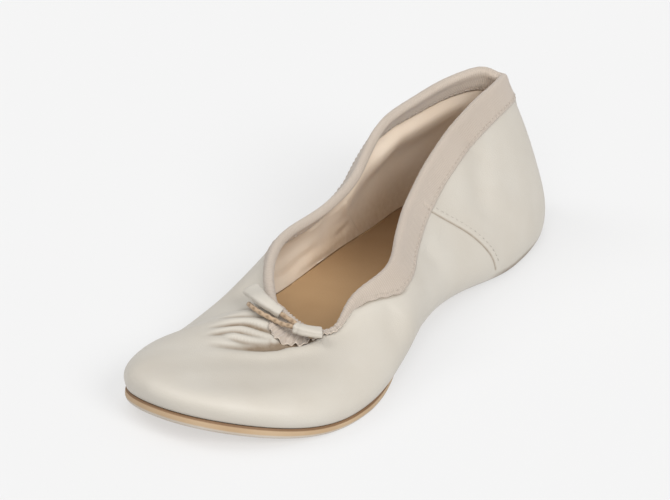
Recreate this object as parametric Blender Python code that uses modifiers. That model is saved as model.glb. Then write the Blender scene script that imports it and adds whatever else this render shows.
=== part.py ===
"""A soft leather ballet flat, the left shoe of a pair, standing empty on its sole.

The upper is one thin wall drawn over the last: every point of it lies on a curve that leaves the feather line,
where wall and sole meet, bulges outwards and closes in to the top line. The sole, insole, top line tape and heel
strap take their shapes from that same wall. Metres, +Z up, toe towards -Y, outer (little toe) side towards +X.
"""
import math

import bmesh
import bpy
import numpy as np
from mathutils import Vector

# Driving sizes of the last
SOLE_LENGTH = 0.238
BALL_WIDTH = 0.077
OPENING_WIDTH = 0.0455
HEEL_HEIGHT = 0.0592
THROAT_HEIGHT = 0.0202
ARCH_RISE = 0.0046
ARCH_HALF_LENGTH = 0.050
ARCH_MIDDLE_SHARE = 0.092
TOE_SPRING = 0.0080
SPRING_START_SHARE = 0.303
SPRING_LENGTH_SHARE = 0.197

# Leather, tape and cord
WALL = 0.0015
GAP = 0.0003
LASTING_MARGIN = 0.0095
ROLL_WIDTH = 0.0035
ROLL_DROP = 0.0017
ROLL_LEAST_SHARE = 0.3
HEEL_SOLE = 0.0022
BALL_SOLE = 0.0031
TOE_SOLE = 0.0041
FORE_SHARES = (-0.20, 0.10)
TOE_SHARES = (0.30, 0.50)
SOLE_INSET = 0.0048
SOLE_PROUD = 0.0004
INSOLE_THICKNESS = 0.0016
INSOLE_CLEARANCE = 0.0009
TAPE_WIDTH = 0.0095
TAPE_THICKNESS = 0.0006
TAPE_ROW_SHARES = (1.0, 0.7, 0.35, 0.0)
STRAP_WIDTH = 0.0130
STRAP_THICKNESS = 0.0008
STRAP_GAP = 0.0005
STRAP_LOW_SHARE = 0.04
CORD_DIAMETER = 0.0018
TIP_CLEARANCE = 0.0004
TIP_MOUTH_WIDTH = 0.0037
TIP_THICKNESS = 0.0035
TIP_END_WALL = 0.0008

# Mesh density
AROUND_STEPS = 84
UP_STEPS = 11
UP_CROWDING = 1.4
SOLE_ROWS = 34
SOLE_COLUMNS = 6
STRAP_ROWS = 9
STRAP_COLUMNS = 5
EDGE_STEPS = 720
ROUTE_STEPS = 8
CORD_STEPS = 10
TIP_STEPS = 6
TIP_SIDES = 12
SLOPE_STEP = 0.0005
CLOSING_ROUNDS = 12

# The wall's sections, from the middle of the heel to the tip of the toe.
# foot_along and top_along are shares of SOLE_LENGTH ahead of (-) or behind (+) the middle of the sole;
# foot_outer and foot_inner are shares of BALL_WIDTH, top_outer and top_inner of OPENING_WIDTH;
# the two rises are shares of the way from THROAT_HEIGHT to HEEL_HEIGHT; low_out is a share of BALL_WIDTH,
# low_rise of the top line's height and top_out of SOLE_LENGTH; tuck is a share of ROLL_DROP and SOLE_INSET.
COLUMNS = (
    "foot_along", "foot_outer", "foot_inner",
    "top_along", "top_outer", "top_inner", "rise_outer", "rise_inner",
    "low_out", "low_rise", "top_out", "tuck",
)
SECTIONS = {
    "heel middle": (0.498, 0.000, 0.000, 0.450, 0.000, 0.000, 1.010, 1.010, 0.079, 0.20, 0.043, 1.00),
    "heel corner": (0.470, 0.228, 0.216, 0.432, 0.110, 0.150, 1.030, 1.060, 0.084, 0.19, 0.042, 1.00),
    "heel side": (0.389, 0.350, 0.338, 0.343, 0.135, 0.340, 0.994, 0.986, 0.096, 0.20, 0.046, 1.00),
    "ankle": (0.260, 0.382, 0.344, 0.227, 0.142, 0.474, 0.842, 0.822, 0.103, 0.22, 0.046, 1.00),
    "waist": (0.125, 0.354, 0.297, 0.125, 0.198, 0.400, 0.634, 0.580, 0.109, 0.25, 0.047, 1.00),
    "arch": (-0.003, 0.362, 0.306, 0.025, 0.333, 0.411, 0.457, 0.421, 0.106, 0.27, 0.048, 0.80),
    "instep": (-0.137, 0.468, 0.394, -0.070, 0.508, 0.491, 0.315, 0.325, 0.083, 0.29, 0.042, 0.30),
    "ball": (-0.262, 0.536, 0.464, -0.151, 0.446, 0.362, 0.203, 0.187, 0.068, 0.32, 0.040, 0.00),
    "toe side": (-0.382, 0.459, 0.474, -0.203, 0.435, 0.155, 0.034, 0.101, 0.076, 0.48, 0.077, 0.00),
    "toe corner": (-0.466, 0.235, 0.344, -0.220, 0.305, 0.040, -0.022, 0.105, 0.091, 0.69, 0.142, 0.00),
    "toe tip": (-0.502, -0.036, 0.036, -0.220, 0.136, -0.136, -0.004, -0.004, 0.080, 0.87, 0.190, 0.00),
}
TOP_FALL_SHARE = 0.33

# How much of TAPE_WIDTH shows outside: the places around and the shares. The tape rolls in beside the throat and
# is drawn forwards where it is gathered.
TAPE_LEG = (
    (0.000, 1.00), (0.270, 1.00), (0.306, 0.92), (0.321, 0.72), (0.335, 0.52), (0.352, 0.34), (0.373, 0.17),
    (0.400, 0.13), (0.448, 0.15), (0.466, 0.34), (0.486, 1.05), (0.505, 1.36), (0.520, 1.05), (0.536, 0.62),
    (0.556, 0.32), (0.580, 0.17), (0.610, 0.13), (0.655, 0.14), (0.685, 0.35), (0.715, 0.80), (0.745, 1.00),
    (1.000, 1.00),
)

# The bow's two cords and their leather tips. A route's points are the share of the way around the shoe, the drop
# below the top line and the lift off the wall; the tip covers the last part of its cord.
BOW = {
    "outer": {
        "route": (
            (0.580, 0.0087, 0.0021), (0.558, 0.0082, 0.0021), (0.5475, 0.0079, 0.0021), (0.539, 0.0075, 0.0021),
            (0.5315, 0.0070, 0.0021), (0.5245, 0.0067, 0.0022), (0.516, 0.0070, 0.0028), (0.508, 0.0075, 0.0037),
            (0.5005, 0.0080, 0.0046), (0.493, 0.0083, 0.0051), (0.4825, 0.0082, 0.0052), (0.466, 0.0069, 0.0048),
            (0.448, 0.0057, 0.0044),
        ),
        "tip_length": 0.0098,
        "tip_end_width": 0.0046,
    },
    "inner": {
        "route": (
            (0.4675, 0.0067, 0.0021), (0.476, 0.0052, 0.0021), (0.487, 0.0036, 0.0021), (0.5005, 0.0025, 0.0022),
            (0.511, 0.0028, 0.0027), (0.5195, 0.0034, 0.0033), (0.5275, 0.0037, 0.0038), (0.544, 0.0040, 0.0042),
            (0.5615, 0.0048, 0.0048), (0.6055, 0.0059, 0.0058),
        ),
        "tip_length": 0.0200,
        "tip_end_width": 0.0064,
    },
}


def around_the_last(outer_column, inner_column, inner_sign=1.0):
    """One column read down the outer side to the toe and back up the inner side to the heel."""
    table = np.array(list(SECTIONS.values()))
    outer = table[:, COLUMNS.index(outer_column)]
    inner = inner_sign * table[1:-1, COLUMNS.index(inner_column)]
    return np.concatenate([outer, inner[::-1]])


def section_places():
    """Where each section lies on the way around, 0 to 1: steps grow with the root of the distance between them."""
    across = around_the_last("foot_outer", "foot_inner", -1.0) * BALL_WIDTH
    along = around_the_last("foot_along", "foot_along") * SOLE_LENGTH
    steps = np.hypot(np.roll(across, -1) - across, np.roll(along, -1) - along)
    reach = np.concatenate([[0.0], np.cumsum(np.sqrt(steps))])
    return reach / reach[-1]


def closed_curve(values, around, slope=False):
    """A closed cubic spline through values at the sections' places, read at around, or its slope there."""
    knots = section_places()
    count = len(values)
    step = np.diff(knots)
    after = np.roll(values, -1)
    equations = np.zeros((count, count))
    target = np.zeros(count)
    for i in range(count):
        before = (i - 1) % count
        equations[i, before] += step[before]
        equations[i, i] += 2.0 * (step[before] + step[i])
        equations[i, (i + 1) % count] += step[i]
        target[i] = 6.0 * ((after[i] - values[i]) / step[i] - (values[i] - values[before]) / step[before])
    bend = np.linalg.solve(equations, target)
    bend_after = np.roll(bend, -1)
    place = np.mod(around, 1.0)
    span = np.clip(np.searchsorted(knots, place, side="right") - 1, 0, count - 1)
    width = step[span]
    ahead = (place - knots[span]) / width
    back = 1.0 - ahead
    if slope:
        return ((after[span] - values[span]) / width
                + width / 6.0 * ((3.0 * ahead ** 2 - 1.0) * bend_after[span] - (3.0 * back ** 2 - 1.0) * bend[span]))
    return (back * values[span] + ahead * after[span]
            + width ** 2 / 6.0 * ((back ** 3 - back) * bend[span] + (ahead ** 3 - ahead) * bend_after[span]))


def smooth_step(value, start, end):
    """0 before start, 1 after end, and an even rise between them."""
    share = np.clip((value - start) / (end - start), 0.0, 1.0)
    return share * share * (3.0 - 2.0 * share)


def sole_bottom(along):
    """Height of the sole's underside: flat at heel and ball, a low arch between them, and the toe spring."""
    arch_share = np.clip((along - ARCH_MIDDLE_SHARE * SOLE_LENGTH) / ARCH_HALF_LENGTH, -1.0, 1.0)
    arch = ARCH_RISE * 0.5 * (1.0 + np.cos(math.pi * arch_share))
    toe_share = np.clip((-along / SOLE_LENGTH - SPRING_START_SHARE) / SPRING_LENGTH_SHARE, 0.0, None)
    return arch + TOE_SPRING * toe_share ** 2


def sole_top(along):
    """Height of the sole's upper face, which the turned-in margin lies on."""
    fore = smooth_step(-along / SOLE_LENGTH, *FORE_SHARES)
    toe = smooth_step(-along / SOLE_LENGTH, *TOE_SHARES)
    thickness = HEEL_SOLE + (BALL_SOLE - HEEL_SOLE) * fore + (TOE_SOLE - BALL_SOLE) * toe
    return sole_bottom(along) + thickness


def above_sole(along, height):
    """A height measured square to the sole's upper face, so that layers keep their distance up the toe spring."""
    slope = (sole_top(along + SLOPE_STEP) - sole_top(along - SLOPE_STEP)) / (2.0 * SLOPE_STEP)
    return sole_top(along) + height * np.sqrt(1.0 + slope ** 2)


def tuck_share(around):
    """How far the wall rolls under: 0 at the forefoot, where the sole's edge shows, to 1 at waist and heel."""
    return np.clip(closed_curve(around_the_last("tuck", "tuck"), around), 0.0, 1.0)


def foot_line(around):
    """Feather line points and the level outward direction there."""
    across_values = around_the_last("foot_outer", "foot_inner", -1.0) * BALL_WIDTH
    along_values = around_the_last("foot_along", "foot_along") * SOLE_LENGTH
    across = closed_curve(across_values, around)
    along = closed_curve(along_values, around)
    across_slope = closed_curve(across_values, around, slope=True)
    along_slope = closed_curve(along_values, around, slope=True)
    length = np.hypot(across_slope, along_slope)
    height = above_sole(along, GAP) - ROLL_DROP * tuck_share(around) ** 2
    points = np.stack([across, along, height], axis=-1)
    outwards = np.stack([-along_slope / length, across_slope / length, np.zeros_like(length)], axis=-1)
    return points, outwards


def top_line(around):
    """Points of the upper's top edge."""
    across = closed_curve(around_the_last("top_outer", "top_inner", -1.0) * OPENING_WIDTH, around)
    along = closed_curve(around_the_last("top_along", "top_along") * SOLE_LENGTH, around)
    rise = closed_curve(around_the_last("rise_outer", "rise_inner"), around)
    height = THROAT_HEIGHT + (HEEL_HEIGHT - THROAT_HEIGHT) * rise
    return np.stack([across, along, height], axis=-1)


def wall_point(around, up):
    """The outside of the wall: a cubic curve from the feather line (up 0) to the top line (up 1)."""
    around, up = np.broadcast_arrays(np.asarray(around, float), np.asarray(up, float))
    foot, outwards = foot_line(around)
    top = top_line(around)
    upwards = np.array([0.0, 0.0, 1.0])
    low_out = closed_curve(around_the_last("low_out", "low_out"), around)[..., None] * BALL_WIDTH
    low_rise = closed_curve(around_the_last("low_rise", "low_rise"), around)[..., None] * top[..., 2:]
    top_out = closed_curve(around_the_last("top_out", "top_out"), around)[..., None] * SOLE_LENGTH
    low_handle = foot + outwards * low_out + upwards * low_rise
    top_handle = top + outwards * top_out - upwards * TOP_FALL_SHARE * top[..., 2:]
    share = up[..., None]
    rest = 1.0 - share
    return (foot * rest ** 3 + 3.0 * low_handle * share * rest ** 2
            + 3.0 * top_handle * share ** 2 * rest + top * share ** 3)


def wall_frame(around, up):
    """Point, outward direction and upward direction of the wall's surface."""
    around_way = wall_point(around + SLOPE_STEP, up) - wall_point(around - SLOPE_STEP, up)
    up_way = wall_point(around, up + SLOPE_STEP) - wall_point(around, up - SLOPE_STEP)
    outwards = np.cross(up_way, around_way)
    outwards /= np.linalg.norm(outwards, axis=-1, keepdims=True)
    up_way /= np.linalg.norm(up_way, axis=-1, keepdims=True)
    return wall_point(around, up), outwards, up_way


def share_below_top(around, drop):
    """The share of the way up at which the wall lies drop below its top edge, found by closing in on it."""
    around, drop = np.broadcast_arrays(np.asarray(around, float), np.asarray(drop, float))
    top = wall_point(around, np.ones_like(around))
    below = np.full_like(around, 0.1)
    for _ in range(CLOSING_ROUNDS):
        reached = np.linalg.norm(wall_point(around, 1.0 - below) - top, axis=-1)
        below = below * np.clip(drop / np.maximum(reached, 1e-6), 0.2, 5.0)
    return 1.0 - below


def route_line(route):
    """A cord's middle line, its points joined smoothly, with the wall's outward direction and the length so far."""
    knots = np.array(route)
    ends = np.concatenate([2.0 * knots[:1] - knots[1:2], knots, 2.0 * knots[-1:] - knots[-2:-1]])
    before, start, end, after = (ends[i:i + len(knots) - 1, None] for i in range(4))
    share = (np.arange(ROUTE_STEPS) / ROUTE_STEPS)[None, :, None]
    smooth = (start + 0.5 * share * (end - before)
              + share ** 2 * (before - 2.5 * start + 2.0 * end - 0.5 * after)
              + share ** 3 * (1.5 * (start - end) + 0.5 * (after - before)))
    triples = np.concatenate([smooth.reshape(-1, 3), knots[-1:]])
    point, outwards, _ = wall_frame(triples[:, 0], share_below_top(triples[:, 0], triples[:, 1]))
    line = point + outwards * triples[:, 2:]
    reach = np.concatenate([[0.0], np.cumsum(np.linalg.norm(np.diff(line, axis=0), axis=1))])
    return line, outwards, reach


def read_line(values, reach, distances):
    """The line's points or directions at distances from its start."""
    return np.stack([np.interp(distances, reach, values[:, i]) for i in range(3)], axis=-1)


def material(name, colour, roughness):
    """A plain surface of one colour."""
    surface = bpy.data.materials.new(name)
    surface.use_nodes = True
    shader = surface.node_tree.nodes["Principled BSDF"]
    shader.inputs["Base Color"].default_value = (*colour, 1.0)
    shader.inputs["Roughness"].default_value = roughness
    shader.inputs["Metallic"].default_value = 0.0
    return surface


def add_piece(name, data, surface, carrier, collection):
    """Put a mesh or curve into the shoe's collection as a named piece."""
    piece = bpy.data.objects.new(name, data)
    piece.data.materials.append(surface)
    piece.parent = carrier
    collection.objects.link(piece)
    return piece


def grid_mesh(name, points, closed):
    """A mesh from rows of points; closed joins each row's end to its start. Faces look out of the wall."""
    rows, columns = points.shape[:2]
    index = np.arange(rows * columns).reshape(rows, columns)
    if closed:
        index = np.concatenate([index, index[:, :1]], axis=1)
    low, high = index[:-1], index[1:]
    faces = np.stack([low[:, :-1], high[:, :-1], high[:, 1:], low[:, 1:]], axis=-1).reshape(-1, 4)
    mesh = bpy.data.meshes.new(name)
    mesh.from_pydata(points.reshape(-1, 3).tolist(), [], faces.tolist())
    mesh.shade_smooth()
    return mesh


def close_ends(mesh):
    """Merge the points that meet, close what is still open and turn the faces outwards."""
    shape = bmesh.new()
    shape.from_mesh(mesh)
    bmesh.ops.remove_doubles(shape, verts=shape.verts, dist=1e-6)
    bmesh.ops.holes_fill(shape, edges=[edge for edge in shape.edges if edge.is_boundary], sides=0)
    bmesh.ops.recalc_face_normals(shape, faces=shape.faces)
    shape.to_mesh(mesh)
    shape.free()


def add_thickness(piece, thickness, offset):
    """Solidify the piece; offset -1 grows it inwards and 1 outwards."""
    solidify = piece.modifiers.new("thickness", "SOLIDIFY")
    solidify.thickness = thickness
    solidify.offset = offset
    solidify.use_even_offset = True
    solidify.use_quality_normals = True


def column_places():
    """Even steps around the shoe."""
    return np.arange(AROUND_STEPS) / AROUND_STEPS


def make_upper():
    """The lasting margin turned under, the roll at its edge, and the wall up to the top line."""
    around = column_places()
    foot, outwards = foot_line(around)
    inner_edge = foot - outwards * LASTING_MARGIN
    roll_share = ROLL_LEAST_SHARE + (1.0 - ROLL_LEAST_SHARE) * tuck_share(around)
    roll_edge = foot - outwards * (ROLL_WIDTH * roll_share)[:, None]
    for row in (inner_edge, roll_edge):
        row[:, 2] = above_sole(row[:, 1], GAP)
    up = 1.0 - (1.0 - np.linspace(0.0, 1.0, UP_STEPS + 1)[:, None]) ** UP_CROWDING
    wall = wall_point(around[None, :], up)
    rows = np.concatenate([inner_edge[None], roll_edge[None], wall])
    return grid_mesh("upper", rows, closed=True)


def make_topline_tape():
    """A folded tape that straddles the upper's edge, one leg outside and one inside."""
    around = column_places()[None, :]
    drops = TAPE_WIDTH * np.array(TAPE_ROW_SHARES)[:, None]
    leg_share = np.interp(around, *np.array(TAPE_LEG).T)
    point, outwards, _ = wall_frame(around, share_below_top(around, drops * leg_share))
    outer_leg = point + outwards * GAP
    point, outwards, _ = wall_frame(around, share_below_top(around, drops))
    inner_leg = (point - outwards * (WALL + GAP))[::-1]
    edge, edge_out, edge_up = wall_frame(around, np.ones((1, 1)))
    outer_fold = edge + edge_up * GAP
    inner_fold = outer_fold - edge_out * WALL
    return grid_mesh("topline_tape", np.concatenate([outer_leg, outer_fold, inner_fold, inner_leg]), closed=True)


def make_heel_strap():
    """A strip of leather up the back of the heel, from just above the sole to just under the tape."""
    high = share_below_top(np.zeros(1), TAPE_WIDTH + 2.0 * GAP)[0]
    up = np.linspace(STRAP_LOW_SHARE, high, STRAP_ROWS)[:, None]
    half = np.linspace(1.0, -1.0, STRAP_COLUMNS)[None, :]
    around = half * STRAP_WIDTH / SOLE_LENGTH * np.ones_like(up)
    middle = wall_point(np.zeros_like(up), up)
    for _ in range(CLOSING_ROUNDS):
        reached = np.linalg.norm(wall_point(around, up) - middle, axis=-1)
        wanted = np.abs(half) * STRAP_WIDTH / 2.0
        around = around * np.where(wanted > 0.0, wanted / np.maximum(reached, 1e-6), 0.0)
    point, outwards, _ = wall_frame(around, up)
    return grid_mesh("heel_strap", (point + outwards * STRAP_GAP)[:, ::-1], closed=False)


def plate_mesh(name, inset, top_height, bottom_height):
    """A plate inside the feather line, moved in by inset; its faces follow two heights along the shoe."""
    around = np.linspace(0.0, 1.0, EDGE_STEPS + 1)
    foot, outwards = foot_line(around)
    edge = foot - outwards * inset(around)[:, None]
    heel = int(np.argmax(edge[:, 1]))
    toe = int(np.argmin(edge[:, 1]))
    outer = edge[:toe + 1]
    inner = edge[toe:][::-1]
    turn = 0.5 * (1.0 - np.cos(math.pi * np.arange(SOLE_ROWS + 1) / SOLE_ROWS))
    along = edge[heel, 1] + (edge[toe, 1] - edge[heel, 1]) * turn
    outer_across = np.interp(-along, -outer[:, 1], outer[:, 0])
    inner_across = np.interp(-along, -inner[:, 1], inner[:, 0])
    share = np.linspace(0.0, 1.0, SOLE_COLUMNS + 1)[None, :]
    across = outer_across[:, None] * (1.0 - share) + inner_across[:, None] * share
    along = np.repeat(along[:, None], SOLE_COLUMNS + 1, axis=1)
    top = np.stack([across, along, top_height(along)], axis=-1)
    bottom = np.stack([across, along, bottom_height(along)], axis=-1)
    loop = np.concatenate([top, bottom[:, ::-1]], axis=1)
    mesh = grid_mesh(name, loop, closed=True)
    close_ends(mesh)
    return mesh


def outsole_inset(around):
    """The sole stands a little proud at the toe and draws in under the roll at waist and heel."""
    tuck = tuck_share(around)
    return SOLE_INSET * tuck - SOLE_PROUD * (1.0 - tuck)


def make_outsole():
    """The thin leather sole, flat on the floor at heel and ball."""
    return plate_mesh("outsole", outsole_inset, sole_top, sole_bottom)


def insole_inset(around):
    """The insole lies inside the wall, clear of it all round."""
    return np.full_like(around, WALL + INSOLE_CLEARANCE)


def insole_top(along):
    """Height of the face that the foot stands on."""
    return above_sole(along, GAP + WALL + GAP + INSOLE_THICKNESS)


def insole_bottom(along):
    """Height of the insole's underside, just clear of the turned-in margin."""
    return above_sole(along, GAP + WALL + GAP)


def make_insole():
    """The tan leather insole on the margin."""
    return plate_mesh("insole", insole_inset, insole_top, insole_bottom)


def sleeve_rings(line, outwards, width, thickness):
    """Rings of points square to a line, width along the wall and thickness off it."""
    ahead = np.gradient(line, axis=0)
    ahead /= np.linalg.norm(ahead, axis=1, keepdims=True)
    sideways = np.cross(outwards, ahead)
    sideways /= np.linalg.norm(sideways, axis=1, keepdims=True)
    upwards = np.cross(ahead, sideways)
    turn = (2.0 * math.pi * np.arange(TIP_SIDES) / TIP_SIDES)[None, :, None]
    across = sideways[:, None] * np.cos(turn) * width[:, None, None] / 2.0
    rise = upwards[:, None] * np.sin(turn) * thickness / 2.0
    return line[:, None] + across + rise


def make_bow_tip(name, route, tip_length, tip_end_width):
    """A leather sleeve over the end of a cord: wider than it is thick, bored from its mouth and closed at its end."""
    line, outwards, reach = route_line(route)
    outside_reach = reach[-1] - tip_length * np.linspace(1.0, 0.0, TIP_STEPS)
    bore_reach = reach[-1] - np.linspace(tip_length, TIP_END_WALL, TIP_STEPS)
    outside = sleeve_rings(read_line(line, reach, outside_reach), read_line(outwards, reach, outside_reach),
                           np.linspace(TIP_MOUTH_WIDTH, tip_end_width, TIP_STEPS), TIP_THICKNESS)
    bore = sleeve_rings(read_line(line, reach, bore_reach), read_line(outwards, reach, bore_reach),
                        np.full(TIP_STEPS, CORD_DIAMETER + 2.0 * TIP_CLEARANCE), CORD_DIAMETER + 2.0 * TIP_CLEARANCE)
    mesh = grid_mesh(name, np.concatenate([outside[::-1], bore]), closed=True)
    close_ends(mesh)
    return mesh


def make_bow_cord(name, route):
    """The round cord, from where it leaves the tape to just short of the end of its tip's bore."""
    line, _, reach = route_line(route)
    places = read_line(line, reach, np.linspace(0.0, reach[-1] - TIP_END_WALL - TIP_CLEARANCE, CORD_STEPS))
    curve = bpy.data.curves.new(name, "CURVE")
    curve.dimensions = "3D"
    curve.bevel_depth = CORD_DIAMETER / 2.0
    curve.bevel_resolution = 2
    curve.use_fill_caps = True
    spline = curve.splines.new("POLY")
    spline.points.add(len(places) - 1)
    for point, place in zip(spline.points, places):
        point.co = (*place, 1.0)
    return curve


def main():
    """Build the shoe's pieces and stand it on the origin."""
    for old in list(bpy.data.objects):
        bpy.data.objects.remove(old, do_unlink=True)
    collection = bpy.data.collections.new("ballet_flat")
    bpy.context.scene.collection.children.link(collection)
    carrier = bpy.data.objects.new("shoe_origin", None)
    collection.objects.link(carrier)
    leather = material("cream leather", (0.66, 0.60, 0.50), 0.45)
    tape = material("beige tape", (0.58, 0.48, 0.40), 0.85)
    sole_leather = material("tan sole leather", (0.42, 0.28, 0.16), 0.6)
    cord = material("tan cord", (0.55, 0.40, 0.26), 0.8)
    insole_leather = material("tan insole leather", (0.38, 0.25, 0.13), 0.6)
    upper = add_piece("upper", make_upper(), leather, carrier, collection)
    add_thickness(upper, WALL, -1.0)
    topline_tape = add_piece("topline_tape", make_topline_tape(), tape, carrier, collection)
    add_thickness(topline_tape, TAPE_THICKNESS, 1.0)
    heel_strap = add_piece("heel_strap", make_heel_strap(), leather, carrier, collection)
    add_thickness(heel_strap, STRAP_THICKNESS, 1.0)
    add_piece("outsole", make_outsole(), sole_leather, carrier, collection)
    add_piece("insole", make_insole(), insole_leather, carrier, collection)
    for side, end in BOW.items():
        cord_name = "bow_cord_" + side
        tip_name = "bow_tip_" + side
        tip_mesh = make_bow_tip(tip_name, end["route"], end["tip_length"], end["tip_end_width"])
        add_piece(cord_name, make_bow_cord(cord_name, end["route"]), cord, carrier, collection)
        add_piece(tip_name, tip_mesh, leather, carrier, collection)
    bpy.context.view_layer.update()
    graph = bpy.context.evaluated_depsgraph_get()
    corners = np.array([
        piece.matrix_world @ Vector(corner)
        for piece in collection.objects if piece.type == "MESH"
        for corner in piece.evaluated_get(graph).bound_box
    ])
    middle = (corners.min(axis=0) + corners.max(axis=0)) / 2.0
    carrier.location = (-middle[0], -middle[1], 0.0)


main()
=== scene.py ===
"""The looks of a soft leather ballet flat, a left shoe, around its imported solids.

Metres, +Z up, toe towards -Y, outer (little toe) side towards +X. The places of the last are worked out here
as they are in the part: "around" is the share of the way round the shoe, from the middle of the heel along
the outer side to the toe and back along the inner side, and "up" is the share of the way from sole to top.
"""

import math

import bmesh
import bpy
import numpy as np
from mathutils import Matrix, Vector


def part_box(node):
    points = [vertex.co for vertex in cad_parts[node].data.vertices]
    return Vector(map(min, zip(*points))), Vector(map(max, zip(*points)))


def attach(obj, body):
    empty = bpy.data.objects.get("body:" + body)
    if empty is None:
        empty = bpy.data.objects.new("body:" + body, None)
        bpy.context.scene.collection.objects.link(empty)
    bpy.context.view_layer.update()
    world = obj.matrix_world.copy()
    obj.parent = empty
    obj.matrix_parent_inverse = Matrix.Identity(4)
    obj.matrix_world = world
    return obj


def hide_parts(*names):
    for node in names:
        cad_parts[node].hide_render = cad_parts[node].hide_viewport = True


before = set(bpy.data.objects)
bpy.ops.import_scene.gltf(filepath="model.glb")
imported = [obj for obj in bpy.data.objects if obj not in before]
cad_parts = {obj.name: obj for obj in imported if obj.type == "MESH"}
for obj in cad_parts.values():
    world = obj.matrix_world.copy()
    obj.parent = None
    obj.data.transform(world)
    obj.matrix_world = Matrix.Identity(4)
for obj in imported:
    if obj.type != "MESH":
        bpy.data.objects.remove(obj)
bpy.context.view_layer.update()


# Upper
# Two pieces of cream nappa, vamp and heel piece, joined by a lapped and stitched seam on each side, pulled
# over the last and turned in under it. The soft leather is gathered at the throat and creased ahead of it.
SOLE_LENGTH = 0.238
BALL_WIDTH = 0.077
OPENING_WIDTH = 0.0455
HEEL_HEIGHT = 0.0592
THROAT_HEIGHT = 0.0202
ARCH_RISE = 0.0046
ARCH_HALF_LENGTH = 0.050
ARCH_MIDDLE_SHARE = 0.092
TOE_SPRING = 0.0080
SPRING_START_SHARE = 0.303
SPRING_LENGTH_SHARE = 0.197
HEEL_SOLE = 0.0022
BALL_SOLE = 0.0031
TOE_SOLE = 0.0041
FORE_SHARES = (-0.20, 0.10)
TOE_SHARES = (0.30, 0.50)
WALL = 0.0015
GAP = 0.0003
LASTING_MARGIN = 0.0095
ROLL_WIDTH = 0.0035
ROLL_DROP = 0.0017
ROLL_LEAST_SHARE = 0.3
UPPER_THICKNESS = 0.0010
TOP_FALL_SHARE = 0.33
COLUMNS = (
    "foot_along", "foot_outer", "foot_inner",
    "top_along", "top_outer", "top_inner", "rise_outer", "rise_inner",
    "low_out", "low_rise", "top_out", "tuck",
)
SECTIONS = {
    "heel middle": (0.498, 0.000, 0.000, 0.450, 0.000, 0.000, 1.010, 1.010, 0.079, 0.20, 0.043, 1.00),
    "heel corner": (0.470, 0.228, 0.216, 0.432, 0.110, 0.150, 1.030, 1.060, 0.084, 0.19, 0.042, 1.00),
    "heel side": (0.389, 0.350, 0.338, 0.343, 0.135, 0.340, 0.994, 0.986, 0.096, 0.20, 0.046, 1.00),
    "ankle": (0.260, 0.382, 0.344, 0.227, 0.142, 0.474, 0.842, 0.822, 0.103, 0.22, 0.046, 1.00),
    "waist": (0.125, 0.354, 0.297, 0.125, 0.198, 0.400, 0.634, 0.580, 0.109, 0.25, 0.047, 1.00),
    "arch": (-0.003, 0.362, 0.306, 0.025, 0.333, 0.411, 0.457, 0.421, 0.106, 0.27, 0.048, 0.80),
    "instep": (-0.137, 0.468, 0.394, -0.070, 0.508, 0.491, 0.315, 0.325, 0.083, 0.29, 0.042, 0.30),
    "ball": (-0.262, 0.536, 0.464, -0.151, 0.446, 0.362, 0.203, 0.187, 0.068, 0.32, 0.040, 0.00),
    "toe side": (-0.382, 0.459, 0.474, -0.203, 0.435, 0.155, 0.034, 0.101, 0.076, 0.48, 0.077, 0.00),
    "toe corner": (-0.466, 0.235, 0.344, -0.220, 0.305, 0.040, -0.022, 0.105, 0.091, 0.69, 0.142, 0.00),
    "toe tip": (-0.502, -0.036, 0.036, -0.220, 0.136, -0.136, -0.004, -0.004, 0.080, 0.87, 0.190, 0.00),
}
SLOPE_STEP = 0.0005
CLOSING_ROUNDS = 12
CLOSING_START = 0.1
CLOSING_LIMITS = (0.2, 5.0)
TINY = 1e-6


def summed(steps):
    """The running sum of a row of steps, from 0."""
    return np.concatenate([[0.0], np.cumsum(steps)])


def unit(vectors):
    """Vectors shortened or lengthened to 1."""
    return vectors / np.linalg.norm(vectors, axis=-1, keepdims=True)


def around_the_last(outer_column, inner_column=None, inner_sign=1.0):
    """A column, or one for each side, read down the outer side to the toe and back up the inner side."""
    table = np.array(list(SECTIONS.values()))
    outer = table[:, COLUMNS.index(outer_column)]
    inner = inner_sign * table[1:-1, COLUMNS.index(inner_column or outer_column)]
    return np.concatenate([outer, inner[::-1]])


def section_places():
    """Where each section lies on the way around, 0 to 1: a step is as the root of the distance it spans."""
    across = around_the_last("foot_outer", "foot_inner", -1.0) * BALL_WIDTH
    along = around_the_last("foot_along") * SOLE_LENGTH
    steps = np.hypot(np.roll(across, -1) - across, np.roll(along, -1) - along)
    reach = summed(np.sqrt(steps))
    return reach / reach[-1]


def closed_curve(values, around, slope=False):
    """A closed cubic spline through values at the sections' places, read at around, or its slope there."""
    knots = section_places()
    count = len(values)
    step = np.diff(knots)
    after = np.roll(values, -1)
    equations = np.zeros((count, count))
    target = np.zeros(count)
    for i in range(count):
        before = (i - 1) % count
        equations[i, before] += step[before]
        equations[i, i] += 2.0 * (step[before] + step[i])
        equations[i, (i + 1) % count] += step[i]
        rise_before = (values[i] - values[before]) / step[before]
        target[i] = 6.0 * ((after[i] - values[i]) / step[i] - rise_before)
    bend = np.linalg.solve(equations, target)
    bend_after = np.roll(bend, -1)
    place = np.mod(around, 1.0)
    span = np.clip(np.searchsorted(knots, place, side="right") - 1, 0, count - 1)
    width = step[span]
    ahead = (place - knots[span]) / width
    back = 1.0 - ahead
    if slope:
        bending = (3.0 * ahead ** 2 - 1.0) * bend_after[span] - (3.0 * back ** 2 - 1.0) * bend[span]
        return (after[span] - values[span]) / width + width / 6.0 * bending
    bending = (back ** 3 - back) * bend[span] + (ahead ** 3 - ahead) * bend_after[span]
    return back * values[span] + ahead * after[span] + width ** 2 / 6.0 * bending


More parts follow.
